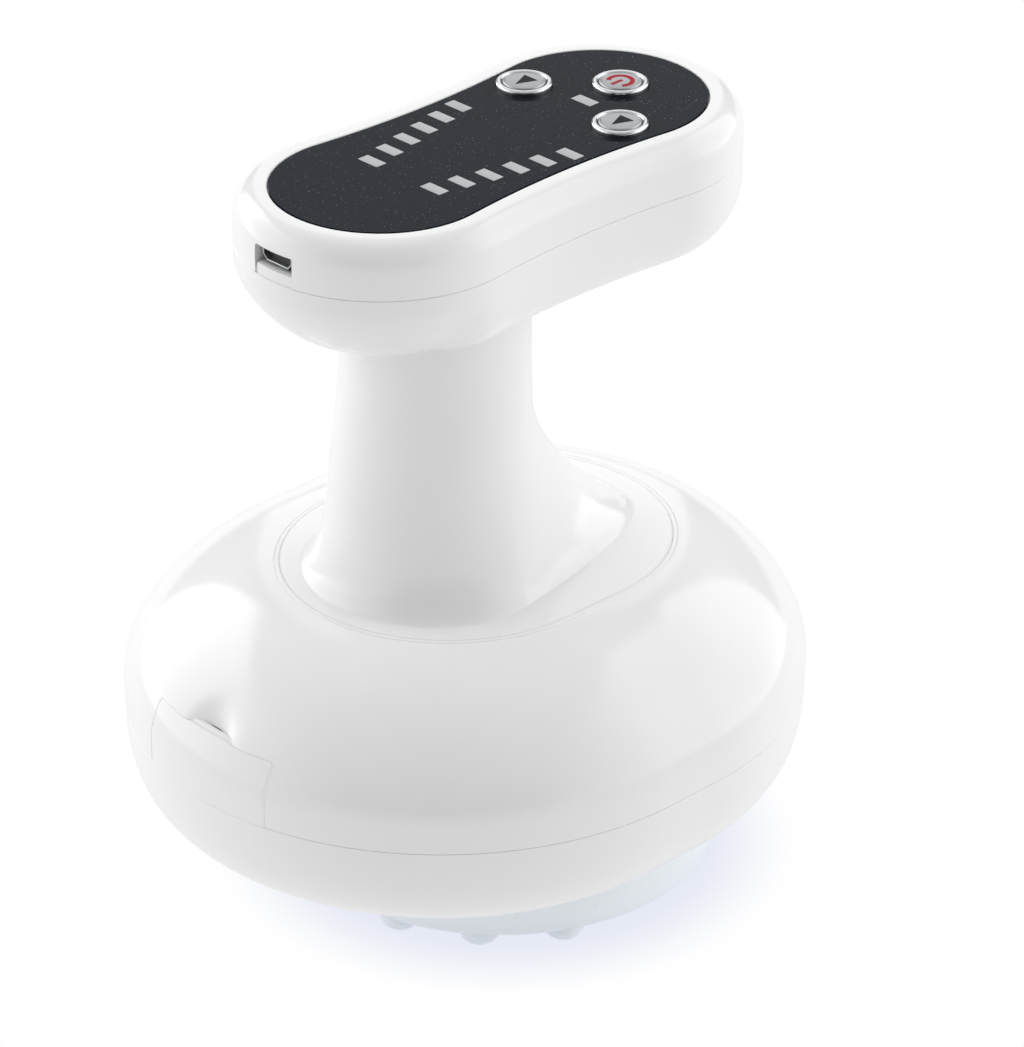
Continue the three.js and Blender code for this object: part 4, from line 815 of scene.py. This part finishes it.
def foot_point(angle):
    """The edge of the flare's foot: round at the near side and drawn out to a blunt tip."""
    cos, sin = np.cos(angle), np.sin(angle)
    tipward = cos > 0
    x = np.where(tipward, FOOT_REACH * np.abs(cos) ** FOOT_TAPER, FOOT_RADIUS * cos)
    y = FOOT_RADIUS * np.where(tipward, np.sign(sin) * np.abs(sin) ** FOOT_BLUNT, sin)
    spread_out = 1 + SOFT_GROWTH / FOOT_RADIUS * softness(angle)
    return np.stack([x * spread_out, y * spread_out], 1)


def inside_ring(points):
    """How far points lie inside the ring groove, seen from the neck's axis."""
    x = points[:, 0] + NECK_MIDDLE - RING_MIDDLE
    return RING_RADIUS - np.hypot(x - np.clip(x, -RING_STRETCH, RING_STRETCH), points[:, 1])


def ring_point(directions, depth):
    """Where rays from the neck's axis meet the line at a distance inside the ring groove."""
    near, far = np.zeros(len(directions)), np.full(len(directions), 2 * FOOT_REACH)
    for _ in range(HALVINGS):
        middle = (near + far) / 2
        within = inside_ring(directions * middle[:, None]) > depth
        near, far = np.where(within, middle, near), np.where(within, far, middle)
    return directions * near[:, None]


def rim_height(points):
    """Height of the foot's gently rising rim."""
    return FOOT_RISE * np.clip(inside_ring(points) / RIM_WIDTH_IN, 0, 1)


# From the neck's hidden edge to its rim: inwards from the groove, and down from its level
NECK_EDGE = [
    (9.0, RING_RECESS - 0.1), (0.02, RING_RECESS - 0.1), (0.02, GROOVE_DEPTH), (RING_GAP, GROOVE_DEPTH),
    (RING_GAP, 0.1), (RING_GAP + 0.03, 0.03), (RING_GAP + 0.1, 0.0)]
RIM_ROWS, FLARE_ROWS, COLUMN_ROWS = 12, 48, 12


def neck_piece():
    sides = 2 * ROUND_SIDES
    angles = np.arange(sides) * 2 * math.pi / sides
    foot = foot_point(angles)
    directions = foot / np.linalg.norm(foot, axis=1)[:, None]
    rows = [level_row(ring_point(directions, depth), -drop) for depth, drop in NECK_EDGE]
    start = rows[-1][:, :2]
    for share in np.linspace(0, 1, RIM_ROWS)[1:]:
        flat = start + (foot - start) * share
        rows.append(level_row(flat, rim_height(flat)))
    base = rim_height(foot)
    foot_power = FLARE_FOOT + (FLARE_SOFT - FLARE_FOOT) * softness(angles)
    height = flare_height(angles)
    column = column_point(angles, FOOT_RISE + height)[:, :2]
    tipward = np.clip((np.cos(angles) - STRIP_SPAN[0]) / (STRIP_SPAN[1] - STRIP_SPAN[0]), 0, 1)
    for share in np.linspace(0, 1, FLARE_ROWS)[1:]:
        across, _ = quarter(share, foot_power)
        _, down = quarter(share, FLARE_ROUND)
        flat = foot + (column - foot) * across[:, None]
        strip = np.exp(-(np.linalg.norm(flat - foot, axis=1) / STRIP_WIDTH) ** STRIP_POWER)
        low = 1 - STRIP_SINK * strip * tipward
        rows.append(level_row(flat, base + (FOOT_RISE + height - base) * down * low))
    for share in np.linspace(0, 1, COLUMN_ROWS)[1:]:
        rows.append(column_point(angles, FOOT_RISE + height + (NECK_HEIGHT - height) * share))
    rows.append(column_point(angles, np.full(sides, FOOT_RISE + NECK_HEIGHT + NECK_TOP_HIDDEN)))
    points, faces = loft(rows)
    points = points + np.array([NECK_MIDDLE, 0, RING_LEVEL])
    dress("neck", (points, faces), "body", "white_gloss", "neck_cap")


# Handle, from the middle of the panel's face

def in_handle(shape):
    points, faces = shape
    return points + np.array([HANDLE_MIDDLE, 0, PANEL_LEVEL]), faces


BASE_ROWS, TOP_ROWS = 26, 30
BASE_SINK = 8.0  # where the inner walls start to draw in, above the inner floor
BASE_DRAW = 6.0


def base_rows():
    """The handle's rounded underside, firm at the power button's end and softer at the port's."""
    edge = peanut(RIM_WIDTH)
    towards = peanut(RIM_WIDTH - 1)
    share = ease(np.clip((-edge[:, 0] - SOFT_FROM) / SOFT_SPAN, 0, 1))
    width, height, power = (firm + (soft - firm) * share for firm, soft in zip(BASE_ROUND, SOFT_ROUND))
    rows = []
    for i in range(BASE_ROWS + 1):
        across, down = quarter(i / BASE_ROWS, power)
        flat = edge + (towards - edge) * (width * (1 - across))[:, None]
        rows.append(level_row(flat, -HANDLE_HEIGHT + height * down))
    return rows


def handle_lower():
    high = -SEAM_DROP - SEAM
    floor = -HANDLE_HEIGHT + WALL
    rows = base_rows()
    rows.append(level_row(peanut(RIM_WIDTH), high - EDGE_END))
    rows += [level_row(peanut(RIM_WIDTH - s), z) for z, s in edge_levels(high, True)]
    for inset, z in ((LIP_DEPTH, high), (LIP_DEPTH, high + LIP_RISE), (WALL, high + LIP_RISE),
                     (WALL, floor + BASE_SINK), (WALL + BASE_DRAW, floor)):
        rows.append(level_row(peanut(RIM_WIDTH - inset), z))
    shape = in_handle(several(loft(rows), port_tongue()))
    dress("handle_lower", shape, "body", "white_gloss", "handle_lower_shell")


TONGUE_STEPS = 15
TONGUE_EDGE = [(0.3, 0.0), (0.1, 0.3), (0.0, 1.0)]  # down from the tongue's top, and share of its draw
TONGUE_DRAW = np.array([0.3, 0.0])


def port_tongue():
    """The tongue of the lower shell that stands up in the port's slot."""
    half = PORT_HALF - SEAT_GAP
    y = np.linspace(-half, half, TONGUE_STEPS)
    x = TONGUE_INSET - LOBE_STRETCH - np.sqrt((LOBE_RADIUS + RIM_WIDTH) ** 2 - y ** 2)
    outer = np.stack([x, y], 1)
    inner = np.stack([x + WALL, y], 1)[::-1]
    rows = [level_row(np.concatenate([outer, inner]), -SEAM_DROP - 1)]
    for drop, share in TONGUE_EDGE:
        drawn = TONGUE_DRAW * share
        outline = np.concatenate([outer + drawn, inner - drawn])
        rows.append(level_row(outline, TONGUE_HEIGHT - SEAM_DROP - drop))
    return loft(rows)


def socket_row(x, inset):
    """The charging socket's outline at a depth, with its two lower corners cut off."""
    half, top, low = SOCKET_HALF - inset, SOCKET_TOP - inset, SOCKET_TOP - SOCKET_HEIGHT + inset
    cut = SOCKET_CUT - inset / 2
    outline = [(half, top), (-half, top), (-half, low + cut), (-half + cut, low), (half - cut, low),
               (half, low + cut)]
    return np.array([(x, y, z) for y, z in outline])


def socket():
    back = SOCKET_FRONT + SOCKET_DEPTH
    edge = SOCKET_FRONT + SOCKET_EDGE
    shell = loft([socket_row(x, inset) for x, inset in (
        (SOCKET_FRONT, SOCKET_EDGE), (edge, 0), (back, 0), (back, SOCKET_SHEET), (edge, SOCKET_SHEET),
        (SOCKET_FRONT, SOCKET_SHEET - SOCKET_EDGE))], ring=True)
    dress("socket", in_handle(shell), "body", "steel_satin", "usb_socket", angle=SMOOTH_SOCKET)
    # The socket's inside: a near-black block fills the cavity, partly its black plastic and partly painted
    # shade of the deep cavity
    shade_block = loft([socket_row(x, SOCKET_SHEET + SOCKET_SLIT)
                 for x in (SOCKET_FRONT + SHADE_BLOCK_START, back - SOCKET_BACK)])
    dress("socket_inside", in_handle(shade_block), "body", "black_plastic", look="socket_dark", angle=SMOOTH_SOCKET)


PANEL_SEAT = SEAT_GAP / 2
BED_LEVEL = -PANEL_THICKNESS - SEAT_GAP
# From the handle's top to the panel's bed: outwards from the panel's edge, and height
SEAT_EDGE = [(0.35, 0.0), (0.2, -0.02), (0.08, -0.09), (0.0, -0.22), (0.0, BED_LEVEL), (-4.0, BED_LEVEL)]
UPPER_INSIDE = [(WALL + 3.0, -2.9), (WALL, -5.5)]
PORT_CORNER = 0.5
PORT_CUT = (-2.0, 8.0)  # X of the port's cutter, from the handle's end


def handle_upper():
    low = -SEAM_DROP + SEAM
    width, height, power = TOP_ROUND
    rows = [level_row(peanut(RIM_WIDTH - inset), z) for inset, z in (*UPPER_INSIDE, (WALL, low))]
    rows += [level_row(peanut(RIM_WIDTH - s), z) for z, s in edge_levels(low, False)[::-1]]
    rows.append(level_row(peanut(RIM_WIDTH), low + EDGE_END))
    for share in np.linspace(1, 0, TOP_ROWS):
        across, down = quarter(share, power)
        rows.append(level_row(peanut(RIM_WIDTH - width * (1 - across)), -height * down))
    rows += [level_row(peanut(PANEL_SEAT + offset), z) for offset, z in SEAT_EDGE]
    piece = new_mesh("handle_upper", *loft(rows), looks["white_gloss"])
    corner, other = corners(PORT_HALF, -PORT_TOP, PORT_CORNER)
    outline = [(-PORT_HALF, -SEAM_DROP - 2), (PORT_HALF, -SEAM_DROP - 2), *corner, *other]
    block = loft([np.array([(-HANDLE_END + x, y, z) for y, z in outline]) for x in PORT_CUT])
    boolean(piece, new_mesh("port_cutter", *block, None), "DIFFERENCE")
    piece.data.transform(Matrix.Translation(Vector((HANDLE_MIDDLE, 0, PANEL_LEVEL)) * MM))
    smooth(piece, SMOOTH)
    wear(piece, "body", "white_gloss", "handle_upper_shell")


# Panel, buttons and lights

def bar_row(side):
    places = []
    for i in range(BAR_COUNT):
        x, y = (start + (end - start) * (i / (BAR_COUNT - 1)) for start, end in zip(ROW_START, ROW_END))
        places.append((x, side * y))
    return places


BAR_PLACES = {"power": [(POWER_BAR_X, 0.0)], "suction": bar_row(1), "heat": bar_row(-1)}


def flat_piece(name, outline, holes, low, high, edge, material):
    """A flat sheet with holes and lightly rounded edges, made as a filled curve and turned into a mesh."""
    curve = bpy.data.curves.new(name, "CURVE")
    curve.dimensions = "2D"
    curve.fill_mode = "BOTH"
    for loop in [outline, *holes]:
        spline = curve.splines.new("POLY")
        spline.points.add(len(loop) - 1)
        for point, (x, y) in zip(spline.points, loop):
            point.co = (x * MM, y * MM, 0, 1)
        spline.use_cyclic_u = True
    curve.extrude = (high - low) / 2 * MM - edge * MM
    curve.bevel_depth = edge * MM
    curve.bevel_resolution = 2
    curve.offset = -edge * MM
    maker = put(name + "_maker", curve)
    depsgraph = bpy.context.evaluated_depsgraph_get()
    mesh = bpy.data.meshes.new_from_object(maker.evaluated_get(depsgraph))
    bpy.data.objects.remove(maker)
    bpy.data.curves.remove(curve)
    mesh.name = name
    mesh.materials.clear()
    mesh.materials.append(material)
    place = Vector((HANDLE_MIDDLE, 0, PANEL_LEVEL + (low + high) / 2)) * MM
    mesh.transform(Matrix.Translation(place))
    obj = put(name, mesh)
    smooth(obj, SMOOTH_PANEL)
    return obj


def rectangle(x, y, half_x, half_y, corner=BAR_CORNER):
    """A rectangle's outline with rounded corners."""
    points = []
    for i, (sx, sy) in enumerate(((1, 1), (-1, 1), (-1, -1), (1, -1))):
        middle = x + sx * (half_x - corner), y + sy * (half_y - corner)
        points.append(arc(*middle, corner, i * math.pi / 2, (i + 1) * math.pi / 2, 3))
    return np.concatenate(points)


def panel_piece():
    seat = BUTTON_RADIUS + SEAT_GAP + BEZEL_WIDTH + HOLE_SLIT
    half_x, half_y = BAR_WIDTH / 2 + BAR_SLIT, BAR_LENGTH / 2 + BAR_SLIT
    holes = [circle(x, y, seat, HOLE_SIDES)[::-1] for x, y in BUTTON_PLACES.values()]
    for places in BAR_PLACES.values():
        holes += [rectangle(x, y, half_x, half_y)[::-1] for x, y in places]
    panel = flat_piece("panel", peanut(PANEL_SLIT - PANEL_SEAT), holes, -PANEL_THICKNESS, 0, PANEL_EDGE,
                       looks["panel_black"])
    wear(panel, "body", "panel_black", "control_panel")


def light_pieces():
    for name, places in BAR_PLACES.items():
        parts = []
        for x, y in places:
            parts.append(loft([level_row(rectangle(x, y, BAR_WIDTH / 2 - s, BAR_LENGTH / 2 - s), z)
                               for z, s in BAR_EDGE]))
        dress(f"{name}_lights", in_handle(several(*parts)), "body", "light_bar", f"{name}_light_guide")


def button_pieces():
    top = BUTTON_PROUD - CAP_DROP
    cap = [(BUTTON_RADIUS, -CAP_LOW), *[(BUTTON_RADIUS - inwards, top - down) for inwards, down in CAP_EDGE],
           (CAP_CENTRE, top - CAP_EDGE[-1][1])]
    inner = BUTTON_RADIUS + RING_SLIT
    outer = BUTTON_RADIUS + SEAT_GAP + BEZEL_WIDTH
    half = (outer - inner) / 2
    crown = [(inner + half * (1 - math.cos(a)),
              RING_HEIGHT * (RING_SIDE + (1 - RING_SIDE) * math.sin(a) ** RING_CROWN))
             for a in np.linspace(0, math.pi, RING_STEPS)]
    middle = outer - half
    ring = [(inner, RING_STEP), *crown, (outer, -RING_FOOT), (middle, -RING_FOOT), (middle, RING_STEP)]
    for name, place in BUTTON_PLACES.items():
        dress(f"{name}_cap", in_handle(lathe(cap, place, BUTTON_SIDES)), f"{name}_button_cap", "button_metal",
              f"{name}_button", angle=SMOOTH_BUTTON)
        dress(f"{name}_ring", in_handle(lathe(ring, place, BUTTON_SIDES, ring=True)), "body", "bright_metal",
              f"{name}_button_bezel", angle=SMOOTH_BUTTON)


def ink(name, loops, button, look):
    """A thin printed mark on a button's face."""
    levels = [BUTTON_PROUD - down for down in PRINT_SPAN]
    shape = several(*[loft([level_row(loop, z) for z in levels]) for loop in loops])
    dress(name, in_handle(shape), f"{button}_button_cap", "button_metal", look=look)


def power_symbol(x, y):
    """A ring that opens towards -X and the stroke in its opening."""
    end = math.pi - math.radians(SYMBOL_OPENING)
    half = SYMBOL_WIDTH / 2
    ring = np.concatenate([arc(x, y, SYMBOL_RADIUS + half, -end, end, SYMBOL_STEPS),
                           arc(x, y, SYMBOL_RADIUS - half, end, -end, SYMBOL_STEPS)])
    middle = x - SYMBOL_STROKE / 2 + half
    return [ring, rectangle(middle, y, SYMBOL_STROKE / 2, SYMBOL_WIDTH * STROKE_HALF, STROKE_CORNER)]


def marks():
    ink("power_symbol", power_symbol(*BUTTON_PLACES["power"]), "power", "red_ink")
    for name in ("suction", "heat"):
        x, y = BUTTON_PLACES[name]
        arrow = [(x - ARROW_TIP, y), (x + ARROW_BASE, y - ARROW_HALF), (x + ARROW_BASE, y + ARROW_HALF)]
        ink(f"{name}_arrow", [arrow], name, "dark_ink")


# Cup

def cup_profile():
    inner = CUP_RIM_RADIUS - CUP_RIM_WIDTH
    side = CUP_SHOULDER_RADIUS - CUP_SIDE
    bore = COLLAR_RADIUS + SEAT_GAP
    wall = bore + CUP_SIDE
    round_rim = [(CUP_RIM_RADIUS + RIM_ROUND * (math.sin(a) - 1), RIM_LEVEL + RIM_ROUND * (1 - math.cos(a)))
                 for a in np.linspace(0, math.pi / 2, RIM_STEPS)]
    return [
        *[(inner + out, RIM_LEVEL + up) for out, up in INNER_EDGE], *round_rim,
        *[(CUP_RIM_RADIUS + out, RIM_LEVEL + up) for out, up in CUP_SWELL],
        *[(CUP_SHOULDER_RADIUS + out, RIM_LEVEL + up) for out, up in SHOULDER_SWELL],
        *[(CUP_SHOULDER_RADIUS - inwards, CUP_TOP - down) for inwards, down in SHOULDER_EDGE],
        (side + CUP_EDGE, CUP_TOP), (side, CUP_TOP - CUP_EDGE), (side, CUP_TOP - CUP_SLOT),
        (wall, CUP_TOP - CUP_SLOT), (wall, CUP_TOP - SLOT_EDGE), (wall - SLOT_EDGE, CUP_TOP), (bore, CUP_TOP),
        (bore, BULB_BASE - COLLAR_HEIGHT), (inner + CUP_SIDE / 2, RIM_LEVEL + CUP_SIDE),
        (inner, RIM_LEVEL + BORE_RISE)]


def cup_piece():
    start, end = NUB_SPAN
    dome = [(NUB_RADIUS * math.cos(a), max(RIM_LEVEL - (NUB_HEIGHT + NUB_EXTRA) * math.sin(a), 0.0))
            for a in np.linspace(start, math.pi / 2 * end, NUB_STEPS)]
    dome.append((dome[-1][0] / 2, 0.0))
    parts = [lathe(cup_profile(), (CUP_MIDDLE, 0), ring=True)]
    reach = CUP_RIM_RADIUS - NUB_INSET
    for group in range(NUB_GROUPS):
        for i in range(NUB_COUNT):
            turn = math.radians(NUB_TURN + group * FULL_TURN / NUB_GROUPS + (i - NUB_COUNT // 2) * NUB_PITCH)
            at = (CUP_MIDDLE + reach * math.cos(turn), reach * math.sin(turn))
            parts.append(lathe(dome, at, NUB_SIDES))
    dress("cup", several(*parts), "cup", "cup_frosted", "suction_cup", angle=SMOOTH_CUP)


# Floor and light

FLOOR_SIZE = 6.0
FLOOR_GLOW = {"Is Diffuse Ray": 1.0, "Is Glossy Ray": 0.87}  # as the object's matt and shiny sides see it
FLOOR_SHADOW_TINT = (0.79, 0.815, 0.905)  # painted shadow under the cup: bluish and darker, fading to white
SHADOW_MIDDLE = (0.01, 0.0, 0.0)
SHADOW_SPAN = (0.036, 0.058)


def blend(tree, factor, first, second):
    """A mix of a number or socket and a number."""
    node = add(tree, "ShaderNodeMix", data_type="FLOAT")
    tree.links.new(factor, node.inputs[0])
    if isinstance(first, float):
        node.inputs[2].default_value = first
    else:
        tree.links.new(first, node.inputs[2])
    node.inputs[3].default_value = second
    return node.outputs[0]


def stage():
    mesh = bpy.data.meshes.new("floor")
    square = [(x * FLOOR_SIZE, y * FLOOR_SIZE, 0) for x, y in ((-1, -1), (1, -1), (1, 1), (-1, 1))]
    mesh.from_pydata(square, [], [(0, 1, 2, 3)])
    floor = put("floor", mesh)
    material = bpy.data.materials.new("floor_white")
    material.use_nodes = True
    tree = material.node_tree
    place = add(tree, "ShaderNodeNewGeometry")
    away = add(tree, "ShaderNodeVectorMath", operation="DISTANCE")
    away.inputs[1].default_value = SHADOW_MIDDLE
    tree.links.new(place.outputs["Position"], away.inputs[0])
    # Painted shadow: the floor's glow is tinted bluish and darker round the cup, and turns white further out
    far = spread(tree, away.outputs["Value"], 0, 1, *SHADOW_SPAN, "SMOOTHSTEP")
    path = add(tree, "ShaderNodeLightPath")
    glow = 1.0
    for kind, strength in FLOOR_GLOW.items():
        glow = blend(tree, path.outputs[kind], glow, strength)
    white = add(tree, "ShaderNodeEmission")
    tree.links.new(glow, white.inputs["Strength"])
    tree.links.new(tint(tree, far, FLOOR_SHADOW_TINT, (1, 1, 1), 0, 1), white.inputs["Color"])
    tree.links.new(white.outputs["Emission"], tree.nodes["Material Output"].inputs["Surface"])
    floor.data.materials.append(material)


BOX_DISTANCE = 1.0
BOX_TARGET = Vector((0, 0, 0.07))
# Soft boxes: azimuth and elevation in degrees seen from the object (azimuth 0 towards the camera, 90 to its
# right), width and height in metres, radiance, and the share of the width that fades out towards the camera
BOXES = {
    "left_box": (-112, 20, 1.43, 0.93, 2.6, 0.8),
    "right_box": (103, 25, 1.5, 1.2, 1.6, 0.8),
    "back_panel": (180, 26, 0.54, 0.85, 0.8, 0),
}


def studio_box(name, azimuth, elevation, width, height, radiance, fade):
    turn, lift = math.radians(azimuth), math.radians(elevation)
    towards = Vector((CAMERA_BACK.x, CAMERA_BACK.y, 0)).normalized()
    direction = (towards * math.cos(turn) + CAMERA_RIGHT * math.sin(turn)) * math.cos(lift)
    direction.z = math.sin(lift)
    data = bpy.data.lights.new(name, "AREA")
    data.shape = "RECTANGLE"
    data.size = width
    data.size_y = height
    data.energy = radiance * math.pi * width * height
    lamp = put(name, data)
    lamp.location = BOX_TARGET + direction * BOX_DISTANCE
    lamp.rotation_euler = (-direction).to_track_quat("-Z", "Y").to_euler()
    lamp.visible_camera = False
    if fade:
        data.use_nodes = True
        tree = data.node_tree
        place = add(tree, "ShaderNodeNewGeometry")
        parts = add(tree, "ShaderNodeSeparateXYZ")
        tree.links.new(place.outputs["Parametric"], parts.inputs["Vector"])
        axis = lamp.rotation_euler.to_matrix().col[0]
        span = (0, fade) if axis.dot(CAMERA_BACK) < 0 else (1, 1 - fade)
        glow = spread(tree, parts.outputs["X"], 0, 1, *span, "SMOOTHSTEP")
        tree.links.new(glow, tree.nodes["Emission"].inputs["Strength"])


# The surroundings: dark behind the camera, bright at the sides, and lighter above and behind the object.
# Each glow grows between the two ends of its span, which are shares of a direction
SIDE_GLOW = 1.55
SIDE_SPAN = (0.45, 1.1)
SIDE_END = (-0.42, 0.05)
BACK_GLOW = 0.22
BACK_SPAN = (0.6, -0.55)
HORIZON_SHARE = 0.35
HORIZON_SPAN = (0.0, 0.6)
HAZE_GLOW = 0.18
HAZE_SPAN = (0.25, 0.0)
OVERHEAD_GLOW = 0.62
OVERHEAD_SPAN = (0.15, 0.8)


def lighting():
    for name, values in BOXES.items():
        studio_box(name, *values)
    world = bpy.data.worlds.new("studio")
    bpy.context.scene.world = world
    world.use_nodes = True
    tree = world.node_tree
    back = tree.nodes["Background"]
    back.inputs["Color"].default_value = (1, 1, 1, 1)
    place = add(tree, "ShaderNodeTexCoord")

    def along(direction):
        node = add(tree, "ShaderNodeVectorMath", operation="DOT_PRODUCT")
        node.inputs[1].default_value = Vector(direction).normalized()
        tree.links.new(place.outputs["Generated"], node.inputs[0])
        return node.outputs["Value"]

    def combined(operation, *sources):
        node = add(tree, "ShaderNodeMath", operation=operation)
        for source, socket in zip(sources, node.inputs):
            tree.links.new(source, socket)
        return node.outputs[0]

    def step(source, span, low, high):
        return spread(tree, source, low, high, *span, "SMOOTHSTEP")

    across = combined("ABSOLUTE", along((CAMERA_RIGHT.x, CAMERA_RIGHT.y, 0)))
    facing = along((CAMERA_BACK.x, CAMERA_BACK.y, 0))
    height = along((0, 0, 1))
    sides = combined("MULTIPLY", step(across, SIDE_SPAN, 0, SIDE_GLOW), step(facing, SIDE_END, 0, 1))
    haze = step(height, HAZE_SPAN, 0, HAZE_GLOW)
    overhead = step(height, OVERHEAD_SPAN, 0, OVERHEAD_GLOW)
    behind = step(facing, BACK_SPAN, 0, BACK_GLOW)
    strength = combined("MULTIPLY", behind, step(height, HORIZON_SPAN, HORIZON_SHARE, 1))
    for part in (sides, haze, overhead):
        strength = combined("ADD", strength, part)
    tree.links.new(strength, back.inputs["Strength"])


housing_upper()
housing_door()
housing_lower()
neck_piece()
handle_lower()
socket()
handle_upper()
panel_piece()
light_pieces()
button_pieces()
marks()
cup_piece()
stage()
lighting()
bpy.context.scene.view_settings.view_transform = "Standard"
